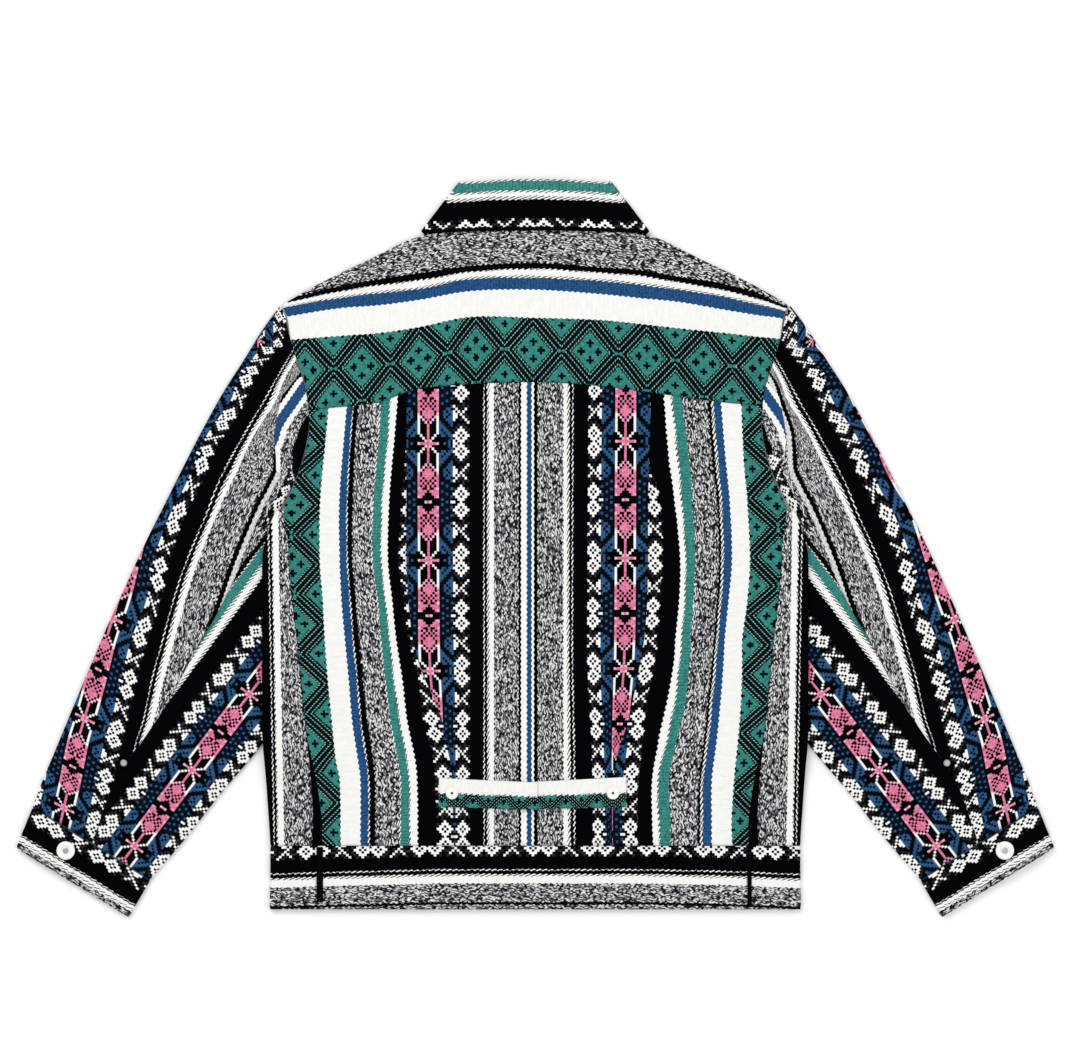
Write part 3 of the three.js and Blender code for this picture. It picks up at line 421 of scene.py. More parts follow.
# how far the waistband's stripes sag, by column
BAND_DIP = ([262, 270, 320, 360, 440, 640, 720, 760, 802, 810], [5, 4.5, 3, 2, 0, 0, 1.5, 3, 5, 5.5])
SLEEVE_REF = [0, 24.7, 41.1, 58, 63.4, 69.2, 103, 107.5, 114, 121, 138]
SLEEVE_ROWS = [(285, 262, 284, 297, 311, 316, 322, 345, 349, 355, 362, 379),
    (335, 247, 268, 285, 300, 305, 309, 325, 329, 335, 342, 359),
    (380, 207, 238, 254.3, 275.7, 279.4, 284.5, 294.5, 297.5, 303, 310, 327),
    (400, 199, 231, 247, 264.3, 270.7, 276.4, 286, 291, 297, 304, 321),
    (430, 186, 210, 228, 246.4, 252.9, 257.3, 276, 280, 285, 292, 309),
    (450, 175, 199.5, 216, 235, 242, 246.6, 273.5, 278, 283, 290, 307),
    (470, 167, 192, 208, 223.8, 232, 237.7, 271.8, 276.4, 281.6, 289, 304),
    (490, 156, 183, 199, 215, 222, 227.9, 261.6, 267, 272.5, 280, 294),
    (510, 144, 172, 187.5, 207.9, 213.6, 218.6, 251.4, 256.7, 261.6, 269, 284),
    (560, 131, 153.5, 170, 186.9, 192.6, 198.7, 230.3, 236, 241, 248, 264),
    (600, 118.5, 146.5, 162, 173.1, 179.2, 185.4, 216.5, 221.8, 228, 235, 251),
    (640, 106, 131, 148, 162.5, 168, 174.6, 203, 208, 215, 222, 238),
    (680, 95.5, 121, 138, 151.5, 157, 164, 194, 199, 206, 213, 229),
    (720, 84, 111.3, 128, 143.5, 147.5, 154, 184, 189, 196, 203, 219),
    (740, 78, 104.5, 123, 136.5, 141, 147, 177, 182, 189, 196, 212),
    (780, 70, 96.5, 114, 128, 133.5, 139, 169, 174, 181, 188, 204),
    (860, 52, 78, 95, 109, 114.5, 120, 150, 155, 162, 169, 185)]
# the fold of the sleeve at the armhole: row, its edge, the inner edge of its blue stripe; it ends at a row
SLEEVE_FLAP = ([372, 380, 396, 410, 420, 430, 440, 448, 460, 480],
    [302, 295, 281.5, 278.6, 276.4, 275, 274.3, 275.2, 276, 276],
    [325, 315, 304, 294.3, 287, 281.4, 279.3, 275, 275, 275], 472)
# the right sleeve's outer stripes lie nearer the body: row, distance; its fold is narrower
SLEEVE_LEAN = ([300, 340, 450, 530, 640, 740], [5, 6.5, 8, 6, 3, 1])
RIGHT_FLAP = (10, 6, -17)
BLUE_END = 172                   # where the blue stripe ends in the sleeve's cloth
# the top of the sleeve lies in folds of its own: last row, inner edge, middle of its flower, spread
SLEEVE_HEAD = (347, 283, 258, 1.6)
# black strip along the seam of the back's side, row and width
SEAM_STRIP = ([735, 780, 820, 846], [0, 5.5, 9, 10])
# directions down the upper sleeve and across the under sleeve; the latter's first star and its repeat
DOWN_UPPER, ACROSS_UNDER, UNDER_STAR, UNDER_STEP = (-0.45, 0.89), (0.797, 0.604), 402.8, 95.2
# distance down the sleeve of the stars and the gaps between them
SLEEVE_V = ([130.0, 220.8, 272.7, 313.6, 383.1, 438.9, 499.6, 551.8, 601.4, 649.8, 690.0, 790.0],
    [-3.6, -1, 0, 1, 2, 3, 4, 5, 6, 7, 8, 10])
HALF_ROWS = 22                   # rows of the chart from a star to the gap
HALF_PERIOD = HALF_ROWS * CELL_V

# kinds of stripe; those below 12 are plain colours of the palette
BLACK, WHITE, BLUE, GREEN, GREY = 0, 1, 8, 9, 10
MARL, DASH, FLOWER, LOZENGE = 12, 13, 14, 15
# other colours of the palette, for the motifs and the marl
LOZENGE_GREEN, MARL_LIGHT, MARL_MID, MARL_DARK, LIGHT_GREEN, DARK_GREEN = 6.0, 10.0, 11.0, 12.0, 13.0, 14.0
# lozenges: size of the full core, its crosses' arms and their distance, the two dotted lines round it
CORE, ARM_WIDE, ARM_LONG, CROSS_AT, DOT_LINES = 0.62, 1.3, 3.7, 8.4, (0.70, 0.885)
# marl: a fleck's width and length in pixels, the flecks drawn below these are light or middle grey
FLECK_WIDE, FLECK_LONG, LIGHT_SHARE, MID_SHARE = 1.12, 2.3, 0.46, 0.72
DASH_LONG, DASH_SHARE = 6.4, 0.58
FULL_TONE = 0.97
# a stripe's code holds its kind and the cell of its axis as shares of these
KINDS, CELLS, LAST_CELL = 16.0, 256.0, 255.0
NO_LOZENGE = (21, 29.7, 0)       # for the cloths that show none
CLOTHS = {
    # name: (base of u, [(start of the stripe, kind, axis of its motif if any)], lozenge half across, along, phase)
    "centre": (400, [(400, FLOWER, 428.2), (470.5, BLACK), (483.4, DASH), (485, BLACK), (486.8, DASH), (489.2, WHITE),
        (493.6, MARL), (518.3, BLACK), (521.6, WHITE), (526.6, BLUE), (532, WHITE), (533.8, BLACK), (537.2, MARL),
        (562.8, WHITE), (566.4, DASH), (569.2, BLACK), (571, DASH), (572.8, BLACK), (587, FLOWER, 626)],
        (33.5, 28.7, 0)),
    "side_l": (255, [(255, BLACK), (259, LOZENGE, 291), (320, WHITE), (339.3, BLUE), (346.8, DASH), (348.4, BLACK),
        (352, MARL), (371.3, DASH), (372.4, GREEN), (380.6, DASH), (382.2, WHITE), (387.3, BLACK), (398, FLOWER, 439)],
        (29.4, 29.8, 505)),
    "side_r": (590, [(590, FLOWER, 620), (661, BLACK), (679, WHITE), (683.6, DASH), (685, GREEN), (693, DASH),
        (693.8, MARL), (717, BLACK), (719.2, DASH), (721.2, BLUE), (728.3, WHITE), (747.7, LOZENGE, 777), (800, BLACK)],
        (30.5, 29.4, 498)),
    "yoke": (205, [(205, MARL), (263, BLACK), (268, DASH), (269.4, WHITE), (275.2, DASH), (277.4, BLUE), (289.5, WHITE),
        (318, LOZENGE, 350)], (33.5, 28.5, 533)),
    "panel": (220, [(220, BLACK), (268.6, DASH), (269.8, BLACK), (271.4, DASH), (273.2, WHITE), (278.2, MARL)]),
    "waist": (800, [(800, FLOWER, 815), (856.2, BLACK), (869.8, DASH), (871, BLACK), (874.2, DASH), (876.4, WHITE),
        (883.4, MARL), (902.6, BLACK), (905, MARL)]),
    "collar": (-60, [(-60, BLACK), (-4.2, DASH), (-1.5, GREEN), (8.2, DASH), (10, WHITE), (14.6, DASH), (17, BLACK),
        (35.4, FLOWER, 77), (44.8, BLACK)]),
    "sleeve": (-100, [(-100, MARL), (-71, WHITE), (-63, DASH), (-58, BLACK), (-41.1, FLOWER, 0), (41.1, BLACK),
        (57.4, DASH), (58.7, BLACK), (61.8, DASH), (64, WHITE), (68.8, MARL), (103, BLACK), (107.5, GREY), (114, MARL),
        (121, FLOWER, 162), (138, BLACK), (154, WHITE), (160, BLUE), (172, WHITE), (177.5, MARL), (188.5, BLACK)]),
    "under": (470, [(470, MARL), (533, BLACK), (538, DASH), (539.4, GREEN), (548.6, DASH), (550.8, WHITE),
        (555.4, DASH), (557.8, BLACK), (576.4, FLOWER, 617.5), (658.6, BLACK), (675, DASH), (680, WHITE), (688, MARL)]),
    "cuff": (-50, [(-50, BLACK), (-9, FLOWER, -24), (17.1, BLACK), (33, DASH), (34.2, BLACK), (36, WHITE), (39.6, DASH),
        (42, WHITE), (43.2, MARL)]),
    "tab": (-10, [(-10, WHITE), (14.6, DASH), (16, LOZENGE, 30)], (17, 15.5, 8)),
}
# the flower stripe: columns outwards from its middle, rows from the star to the gap
FLOWER_ROWS = """
ppppqkkbnbnwwkwkkk
pqkkkkkknbnwkwwwkm
pkwkkkkknnbkwwkwwk
pkkwkkbbnbbwwkwkww
pkkkwbbnbbnkwwkwwk
pkkkwbnbbnkmkwwwkm
pkkkwbbbnknkmkwkmk
pkkkwbbnknbkkmkmkk
kqkkwbnknbbkkkkkkw
pkqkwnknbbbwkkmkwk
ppkqwknbkbbwwkkwkm
pppkqknbbkbwwkwkmk
pppkpknbkbbwkwkwkk
ppkppnknbbnkwkmkwk
pkpkpnknnkbwkmkmkm
kpkppnbnnnkkkkkmkk
pkpkpnnnbnnkkkwkkk
pkkpqnnnnnbmkwwwkm
kppppnbnnknkwwkwwk
kkpppnnnbnnwwkwkww
kkkpqknnnnbkwwkwwk
kkkkknbnnnnkkwwwkk
pqkkknnnbnwwkkwkkk
""".split()
LETTER = {"k": 0, "w": 1, "p": 2, "q": 3, "b": 4, "n": 5, "m": 7}
FULL_WORD = 8.0 ** 6


def srgb(r, g, b):
    def f(c):
        c /= 255.0
        return c / 12.92 if c <= 0.04045 else ((c + 0.055) / 1.055) ** 2.4
    return (f(r), f(g), f(b), 1.0)


# black, white, pink, pale pink, blue and navy of the flowers, green of the lozenges, dark grey, the
# blue and the green stripe, light, middle and dark grey of the marl, the two greens of the lozenges' lines
PALETTE = [srgb(*c) for c in ((3, 3, 5), (234, 234, 231), (208, 116, 148), (224, 172, 192), (42, 80, 118),
    (8, 15, 26), (52, 124, 116), (40, 40, 44), (37, 77, 122), (56, 128, 120), (204, 204, 203), (112, 112, 116),
    (26, 26, 30), (128, 184, 172), (4, 14, 17))]


def operator(op):
    return lambda a, b: a.nodes.m(op, a, b)


class Value:
    """A socket of a node tree; sums and products of it make Math nodes."""

    def __init__(self, nodes, socket):
        self.nodes, self.socket = nodes, socket

    __add__, __sub__, __mul__ = operator("ADD"), operator("SUBTRACT"), operator("MULTIPLY")
    __truediv__, __lt__ = operator("DIVIDE"), operator("LESS_THAN")

    def __rsub__(self, a):
        return self.nodes.m("SUBTRACT", a, self)

    def __abs__(self):
        return self.nodes.m("ABSOLUTE", self)


class Nodes:
    """Short helper for node trees."""

    def __init__(self, tree):
        self.tree = tree

    def node(self, kind, **props):
        n = self.tree.nodes.new(kind)
        for k, v in props.items():
            setattr(n, k, v)
        return n

    def put(self, socket, value):
        if isinstance(value, Value):
            self.tree.links.new(value.socket, socket)
        else:
            socket.default_value = value

    def m(self, op, *args):
        n = self.node("ShaderNodeMath", operation=op)
        for socket, a in zip(n.inputs, args):
            self.put(socket, a)
        return Value(self, n.outputs[0])

    def pick(self, test, yes, no):
        """yes where test is 1, no where it is 0."""
        return self.m("ADD", no, test * self.m("SUBTRACT", yes, no))

    def split(self, kind, value):
        """The parts of a colour or a vector."""
        n = self.node(kind)
        self.put(n.inputs[0], value)
        return [Value(self, out) for out in n.outputs]

    def noise(self, kind, u, v):
        n, at = self.node(kind, noise_dimensions="2D"), self.node("ShaderNodeCombineXYZ")
        self.put(at.inputs[0], u)
        self.put(at.inputs[1], v)
        self.put(n.inputs["Vector"], Value(self, at.outputs[0]))
        if "Scale" in n.inputs:
            n.inputs["Scale"].default_value = 1.0
        return Value(self, n.outputs[0])

    def ramp(self, factor, stops):
        n = self.node("ShaderNodeValToRGB")
        n.color_ramp.interpolation = "CONSTANT"
        els = n.color_ramp.elements
        els[0].position, els[0].color = 0.0, stops[0][1]
        els[1].position, els[1].color = stops[1][0], stops[1][1]
        for pos, col in stops[2:]:
            els.new(pos).color = col
        self.put(n.inputs[0], factor)
        return Value(self, n.outputs[0])


def weave_group():
    """The pattern of all cloths: a chart of flowers, lozenges, marl, dashes and plain stripes."""
    tree = bpy.data.node_groups.new("weave", "ShaderNodeTree")
    for name in ("U", "V", "Index", "Code", "Across", "Along", "Phase", "Axis"):
        kind = "NodeSocketColor" if name == "Code" else "NodeSocketFloat"
        tree.interface.new_socket(name, in_out="INPUT", socket_type=kind)
    tree.interface.new_socket("Color", in_out="OUTPUT", socket_type="NodeSocketColor")
    tree.interface.new_socket("Height", in_out="OUTPUT", socket_type="NodeSocketFloat")
    g = Nodes(tree)
    m = g.m
    u, v, index, code, across, along, phase, middle = (Value(g, out) for out in g.node("NodeGroupInput").outputs[:8])
    code = g.split("ShaderNodeSeparateColor", code)
    kind, axis = m("ROUND", code[0] * KINDS), m("ROUND", code[1] * CELLS)

    # flower: each row of the chart is three words of six digits to base eight, as shares of a full word
    col, row = m("FLOOR", (index - axis) * 0.5 + 0.5), m("FLOOR", v / CELL_V + 0.5)
    c, r = abs(col), abs(m("WRAP", row, float(HALF_ROWS), -float(HALF_ROWS)))
    stops = []
    for k, line in enumerate(FLOWER_ROWS):
        digits = [LETTER[ch] for ch in line]
        word = [sum(d * 8 ** e for e, d in enumerate(digits[6 * b:6 * b + 6])) / FULL_WORD for b in range(3)]
        stops.append((k / 32, (*word, 1.0)))
    words = g.split("ShaderNodeSeparateColor", g.ramp((r + 0.5) / 32.0, stops))
    word = g.pick(c < 5.5, words[0], g.pick(c < 11.5, words[1], words[2]))
    shift = m("POWER", 8.0, m("MODULO", c, 6.0))
    flower = m("MODULO", m("FLOOR", word * FULL_WORD / shift + 0.001), 8.0) * (c < 17.5)

    # lozenges: in a lozenge's own two directions, 0 in its middle and 1 at its edge
    def diamond(a, b):
        p, q = (b + a) * 0.5, (b - a) * 0.5
        pf, qf = p - m("ROUND", p), q - m("ROUND", q)
        return pf, qf, m("MAXIMUM", abs(pf), abs(qf)) * 2.0

    def cross(dx, dy):
        return m("MINIMUM", m("MAXIMUM", dx / ARM_WIDE, dy / ARM_LONG),
                 m("MAXIMUM", dx / ARM_LONG, dy / ARM_WIDE)) < 1.0

    line = m("FLOOR", v / (CELL_V / 2) + 0.5)
    pf, qf, edge = diamond((index - axis) * HALF_CELL / across, (line * (CELL_V / 2) - phase) / along)
    da, db = abs((pf - qf) * across), abs((pf + qf) * along)
    four = m("MAXIMUM", cross(abs(da - CROSS_AT), db), cross(da, abs(db - CROSS_AT)))
    solid = (edge < CORE) * (1.0 - four)
    fine = diamond((u - middle) / across, (v - phase) / along)[2]
    dots = m("MAXIMUM", *(m("COMPARE", fine, at, 0.024) for at in DOT_LINES)) * (m("FRACT", v / 2.05) < 0.52)
    lozenge = g.pick(m("MAXIMUM", solid, cross(da, along - db)), LOZENGE_GREEN, g.pick(dots, LIGHT_GREEN, DARK_GREEN))

    # marl and dashes
    lane = m("FLOOR", (u + m("SINE", v / 1.5 + u / 4.0) * 0.55) / FLECK_WIDE)
    fleck = m("FLOOR", (v + lane * 0.83) / FLECK_LONG)
    drawn = g.noise("ShaderNodeTexWhiteNoise", lane, fleck) + m("MODULO", abs(lane), 2.0) * 0.30
    marl = g.pick(drawn < LIGHT_SHARE, MARL_LIGHT, g.pick(drawn < MID_SHARE, MARL_MID, MARL_DARK))
    dash = m("FRACT", v / DASH_LONG + u * 0.40) < DASH_SHARE

    idx = kind
    for k, value in ((MARL, marl), (DASH, dash), (FLOWER, flower), (LOZENGE, lozenge)):
        idx = g.pick(m("COMPARE", kind, float(k), 0.5), value, idx)
    colour = g.ramp((idx + 0.5) / KINDS, [(k / KINDS, tone) for k, tone in enumerate(PALETTE)])

    # painted light and shade of the threads' relief; threads lighter and darker at random, least on white; dark bars
    # show across the blue and green stripes
    relief_and_shade = m("SINE", u * (2 * pi / HALF_CELL)) * 0.6 + m("SINE", v * (2 * pi / (CELL_V / 2))) * 0.4
    uneven = g.pick(m("COMPARE", idx, 1.0, 0.5), 0.05, 0.65)
    # dark bars every 3.1 pixels along the blue and green stripes
    dark_bars = m("COMPARE", idx, 8.5, 0.6) * (m("FRACT", v / 3.1) < 0.3)
    drift = (g.noise("ShaderNodeTexNoise", u / 14.0, v / 2.6) - 0.5) * 0.16
    spots = g.noise("ShaderNodeTexWhiteNoise", index, line) * uneven
    # the relief's share of the level is painted light and shade; spots and drift are the threads' own random tone
    level = FULL_TONE - dark_bars * 0.28 - uneven * 0.5 + (relief_and_shade * 0.05 + (spots + drift))
    tone = g.node("ShaderNodeCombineColor")
    for k in range(3):
        g.put(tone.inputs[k], level)
    shade = g.node("ShaderNodeMix", data_type="RGBA", blend_type="MULTIPLY")
    shade.inputs["Factor"].default_value = 1.0
    g.put(shade.inputs["A"], colour)
    g.put(shade.inputs["B"], Value(g, tone.outputs[0]))
    out = g.node("NodeGroupOutput").inputs
    g.put(out["Color"], Value(g, shade.outputs["Result"]))
    g.put(out["Height"], relief_and_shade)
    return tree


WEAVE = weave_group()


def principled(name, rough, colour=None, metal=0.0):
    mat = bpy.data.materials.new(name)
    mat.use_nodes = True
    bsdf = mat.node_tree.nodes["Principled BSDF"]
    bsdf.inputs["Roughness"].default_value = rough
    bsdf.inputs["Metallic"].default_value = metal
    bsdf.inputs["Specular IOR Level"].default_value = 0.02 if rough > 0.9 else 0.5
    if colour:
        bsdf.inputs["Base Color"].default_value = colour
    return mat, bsdf


def cloth_material(name):
    base, stripes, *lozenge = CLOTHS[name]
    mat, bsdf = principled("jacquard_" + name, 0.92)
    g = Nodes(mat.node_tree)
    cloth, over = (g.split("ShaderNodeSeparateXYZ", Value(g, g.node("ShaderNodeUVMap", uv_map=uv).outputs[0]))
                   for uv in ("cloth", "over"))
    across = g.pick(g.m("GREATER_THAN", over[1], 0.0), over[0], cloth[0])
    u = across - float(base)
    stops = []
    for start, kind, *axis in stripes:
        at = round((start - base) / HALF_CELL)
        mid = max(0, round((axis[0] - base) / HALF_CELL)) if axis else 0
        stops.append((max(0.0, (at - 0.5) / LAST_CELL), (kind / KINDS, mid / CELLS, 0.0, 1.0)))
    wave = g.m("SINE", cloth[1] * (2 * pi / SCALLOP)) * 0.5
    factor = (g.m("MAXIMUM", g.m("FLOOR", (u + wave) / HALF_CELL), 0.0) + 0.5) / LAST_CELL
    axes = [stripe[2] for stripe in stripes if stripe[1] == LOZENGE] or [0]
    grp = g.node("ShaderNodeGroup")
    grp.node_tree = WEAVE
    values = (across, cloth[1], g.m("FLOOR", u / HALF_CELL), g.ramp(factor, stops),
              *map(float, (*(lozenge or [NO_LOZENGE])[0], axes[0])))
    for socket, value in zip(grp.inputs, values):
        g.put(socket, value)
    bump = g.node("ShaderNodeBump")
    bump.inputs["Strength"].default_value = 0.25
    bump.inputs["Distance"].default_value = 0.0003
    g.put(bump.inputs["Height"], Value(g, grp.outputs["Height"]))
    g.put(bsdf.inputs["Base Color"], Value(g, grp.outputs["Color"]))
    g.put(bsdf.inputs["Normal"], Value(g, bump.outputs[0]))
    return mat


MATS = {name: cloth_material(name) for name in CLOTHS}
TAPE_MAT = principled("black_tape", 0.95, srgb(5, 5, 7))[0]
BUTTON_MAT = principled("button_white", 0.35, srgb(238, 236, 232))[0]
STUD_MAT = principled("stud_metal", 0.35, srgb(170, 170, 172), 1.0)[0]
LEAST_FLAT = 0.0101              # the least flat size of a sheet, in metres


def cloth_area(points):
    """Flat size and area of a grid of points in metres."""
    p = np.asarray(points, float) / 1000.0
    a, b, c, d = p[:-1, :-1], p[:-1, 1:], p[1:, 1:], p[1:, :-1]
    area = (norm(np.cross(b - a, c - a), axis=2) + norm(np.cross(c - a, d - a), axis=2)).sum() / 2
    w = norm(np.diff(p, axis=1), axis=2).sum(axis=1).max()
    h = norm(np.diff(p, axis=0), axis=2).sum(axis=0).max()
    return (round(float(w), 3), round(float(h), 3)), round(float(area), 4)


def add(name, points, thick, uv, cloth, dip=0.35, over=None):
    obj = sheet("v_" + name, points, thick, uv, dip, over)
    flat, area = cloth_area(points)
    flat = (max(flat[0], LEAST_FLAT), max(flat[1], LEAST_FLAT))
    obj.data.materials.append(MATS.get(cloth, TAPE_MAT))
    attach(obj, "root")
    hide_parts(name)


# ---- body
STAR_Y = ([326.5, 443.5, 560.5, 671.0, 781.5, 892.0], [-1, 0, 1, 2, 3, 4])


def flower_v(y, x):
    """Down the flower stripes, counted from a star; those on the right stand a little higher."""
    return np.interp(y + 2.3 * smooth(520, 560, x), *STAR_Y) * 2 * HALF_PERIOD


def back_centre():
    cols, rows = steps(64), steps(130)
    y1 = np.full(len(cols), 170.0)

    def at(y):
        return mix(-back_seam(-1, y) + S2, back_seam(1, y) - S2, cols)
    for _ in range(12):
        y1 = yoke_seam(at(y1)) - YOKE_S2
    pts = []
    for v in rows:
        y = mix(WAIST_Y + S2, y1, v)
        x = at(y)
        pts.append(np.stack([x, y, back_z(x, y)], -1))
    pts = np.array(pts)
    x, y = px(pts)
    add("back_centre", pts, CLOTH, (warp(x, y, CENTRE_ROWS, CENTRE_REF), flower_v(y, x)), "centre")


def back_side(side):
    name = NAMES[side]
    pts = layer(lambda y: back_seam(side, y) + S2, lambda y: arm_x(y) - YOKE_S2, lambda x: WAIST_Y + S2 + 0 * x,
                lambda x: yoke_seam(side * x) - YOKE_S2, lambda x, y: back_z(side * x, y), steps(36), steps(130), side)
    cloth, cloth_rows, refs, axis, black = SIDE_CLOTH[side]
    x, y = px(pts)
    u = warp(x, y, cloth_rows, refs)
    v = np.where(np.abs(u - axis) < FLOWER_HALF, flower_v(y, x), y)
    seam = px(np.stack([-arm_x(CY * PX - y * PX), y, y], -1))[0]
    away = np.where(side < 0, x, 2 * CX - x) - seam
    strip = np.where(y < SEAM_STRIP[0][0], -1.0, np.interp(y, *SEAM_STRIP) - away)
    add("back_side_" + name, pts, CLOTH, (u, v), cloth,
        over=(np.full(u.shape, black), strip))


def yoke():
    rows = np.concatenate([steps(44), 1 + steps(6)[1:]])
    xs = np.linspace(-1, 1, 141)
    pts = layer(lambda y: 0 * y, lambda y: along(ARMHOLE, y) - YOKE_S2 - 0.6 * smooth(238, 254, y),
                lambda x: yoke_seam(x) + YOKE_S2, shoulder, back_z, xs, rows, 1, front_z)
    x, y = px(pts)
    add("back_yoke", pts, CLOTH, (warp(y, x, YOKE_ROWS, YOKE_REF), x), "yoke")


def front(side):
    rows = np.concatenate([steps(72), 1 + steps(4)[1:]])
    pts = layer(lambda y: S2 + 0 * y,
                lambda y: np.where(y > UNDERARM_Y, arm_x(y) - 0.6 * smooth(238, 254, y), front_seam(y)) - YOKE_S2,
                lambda x: WAIST_Y + S2 + 0 * x, neck_front, lambda x, y: front_z(side * x, y), steps(30), rows, side,
                lambda x, y: back_z(side * x, y))
    x, y = px(pts)
    u = np.clip(CX - np.abs(x - CX), 262, 530)
    add("front_" + NAMES[side], pts, CLOTH, (u, flower_v(y, x)), "side_l")


def side_panel(side):
    name = NAMES[side]
    ys = np.linspace(38.5, WAIST_Y + S2, 90)
    pts = np.array([fold_path(
        (float(edge_x(y)), y), (float(arm_x(y)) + YOKE_S2, y), (float(front_seam(y)) + YOKE_S2, y),
        float(back_z(edge_x(y), y)), float(front_z(edge_x(y), y)), lambda x, yy, t: back_z(x, yy),
        CLOTH / 2, 12, 8, front_z) for y in ys])
    x, y = px(mirror(pts, -1))
    uv = run_on(pts, x - np.interp(y, *PANEL_LEAN), y, 13, -1)
    add("side_" + name, mirror(pts, side), CLOTH, uv, "panel")


# ---- waistband, tapes, tab
def band_top(y):
    return mix(5.2, BACK_Z, smooth(HEM_Y, WAIST_Y, y)) + 0.25


BAND_X = {"left": 226.0, "right": 222.0}


def waist_uv(pts):
    x, y = px(pts)
    return y - np.interp(x, *BAND_DIP), x - WAIST_STAR


def waistband():
    ys = np.linspace(HEM_Y, WAIST_Y - S2, 20)
    xs = np.linspace(-BAND_X["left"] + S2, BAND_X["right"] - S2, 120)
    pts = np.array([[(x, y, float(band_top(y))) for x in xs] for y in ys])
    add("waistband_back", pts, BAND, waist_uv(pts), "waist", dip=0.6)
    for side, name in NAMES.items():
        rows = []
        for y in ys:
            z = float(band_top(y))
            rows.append(fold_path((float(edge_x(y)), y), (BAND_X[name] + S2, y), (S2, y), z, BAND / 2,
                                  lambda x, yy, t: z, BAND / 2, 12, 40))
        pts = mirror(np.array(rows), side)
        add("waistband_" + name, pts, BAND, waist_uv(pts), "waist", dip=0.6)


def tapes():
    for name, x0, w, y0 in (("left", -224.1, 6.6, -368.4), ("right", 222.8, 4.4, -373.4)):
        pts = np.array([[(x0 + (u - 0.5) * w, y, float(band_top(y)) + BAND / 2 + SEAM + TAPE_T / 2)
                         for u in steps(6)] for y in np.linspace(y0, WAIST_Y - 1.0, 30)])
        add("waist_tape_" + name, pts, TAPE_T, np.zeros((2, *pts.shape[:2])), "tape",
            0.2)


TAB = {"left": [(-100.2, -239.2, -269.2), (-50, -241.6, -270.8), (2.4, -243.7, -272.1)],
       "right": [(94.8, -238.2, -269.4), (45, -240.8, -270.6), (-9.0, -243.6, -271.4)]}
TAB_WIDE = 29.5                  # in pixels of the cloth


def tab_z(name, x, y):
    over = (TAB_T + SEAM + 0.3) * smooth(-36, -12, x) if name == "left" else 0.0
    return back_base(x, y) + CLOTH / 2 + SEAM + 0.15 + TAB_T / 2 + over


def tabs():
    for name in ("left", "right"):
        u, v = np.meshgrid(steps(44), steps(12), indexing="ij")
        x = by_row(TAB[name], 0, u * 2)
        hi, lo = by_row(TAB[name], 1, u * 2), by_row(TAB[name], 2, u * 2)
        y = mix(lo, hi, v)
        pts = np.stack([x, y, tab_z(name, x, y)], -1)
        add("back_tab_" + name, pts, TAB_T, ((1 - v) * TAB_WIDE, px(pts)[0]), "tab",
            0.5)


# ---- sleeves
def sleeve_row(at):
    ox, oy, bx, by, ix, iy, f, zo, zb, zi = (float(by_row(SLEEVE, k, at)) for k in range(10))
    return (ox, oy), (bx, by), (ix, iy), (mix(ix, ox, f), mix(iy, oy, f)), zo, zb, zi


def nudge(p, q, d):
    ln = hypot(q[0] - p[0], q[1] - p[1])
    return p[0] + (q[0] - p[0]) / ln * d, p[1] + (q[1] - p[1]) / ln * d


def sleeve_fold(x, y, t):
    both = folds(SLEEVE_FOLDS, x, y) + folds(SLEEVE_CREASES, x, y)
    return both * smooth(0, 0.22, t) * smooth(268, 300, x + np.maximum(0, y) * 0.25)


def sleeve_upper(side):
    rows = []
    for at in np.linspace(0, len(SLEEVE) - 1, 141):
        o, b, i, f, zo, zb, zi = sleeve_row(at)
        arm = 0.4 if at <= UNDER_FROM else S2
        rows.append(fold_path(o, nudge(b, o, arm), nudge(f, o, arm), zo, FRONT_Z,
                              lambda x, y, t: mix(zb, zo, smooth(0, 1, t)) + sleeve_fold(x, y, 1 - t)
                              * smooth(0, 0.3, t + 0.1), CLOTH / 2, UPPER, 24))
    pts = np.array(rows)
    x, y = px(mirror(pts, -1))
    lean = [float(np.interp(r[0], *SLEEVE_LEAN)) if side > 0 else 0.0 for r in SLEEVE_ROWS]
    u = warp(x, y, [(r[0], *(c + d for c in r[1:7]), *r[7:]) for r, d in zip(SLEEVE_ROWS, lean)], SLEEVE_REF)
    v = np.interp(DOWN_UPPER[0] * x + DOWN_UPPER[1] * y, *SLEEVE_V) * HALF_PERIOD
    more = RIGHT_FLAP if side > 0 else (0, 0, 0)
    edge, white = (np.interp(y, SLEEVE_FLAP[0], SLEEVE_FLAP[k]) + more[k - 1] for k in (1, 2))
    flap = np.minimum(x - edge, SLEEVE_FLAP[3] + more[2] - y)
    last, inner, middle, spread = SLEEVE_HEAD
    head = np.minimum(last - y, inner - x)
    behind = np.maximum(flap, head)
    behind[:, UPPER + 1:] = -1.0
    over = (np.where(head > flap, (x - middle) * spread, BLUE_END + x - white), behind)
    add("sleeve_upper_" + NAMES[side], mirror(pts, side), CLOTH, run_on(pts, u, v, UPPER + 1, -1), "sleeve",
        over=over)


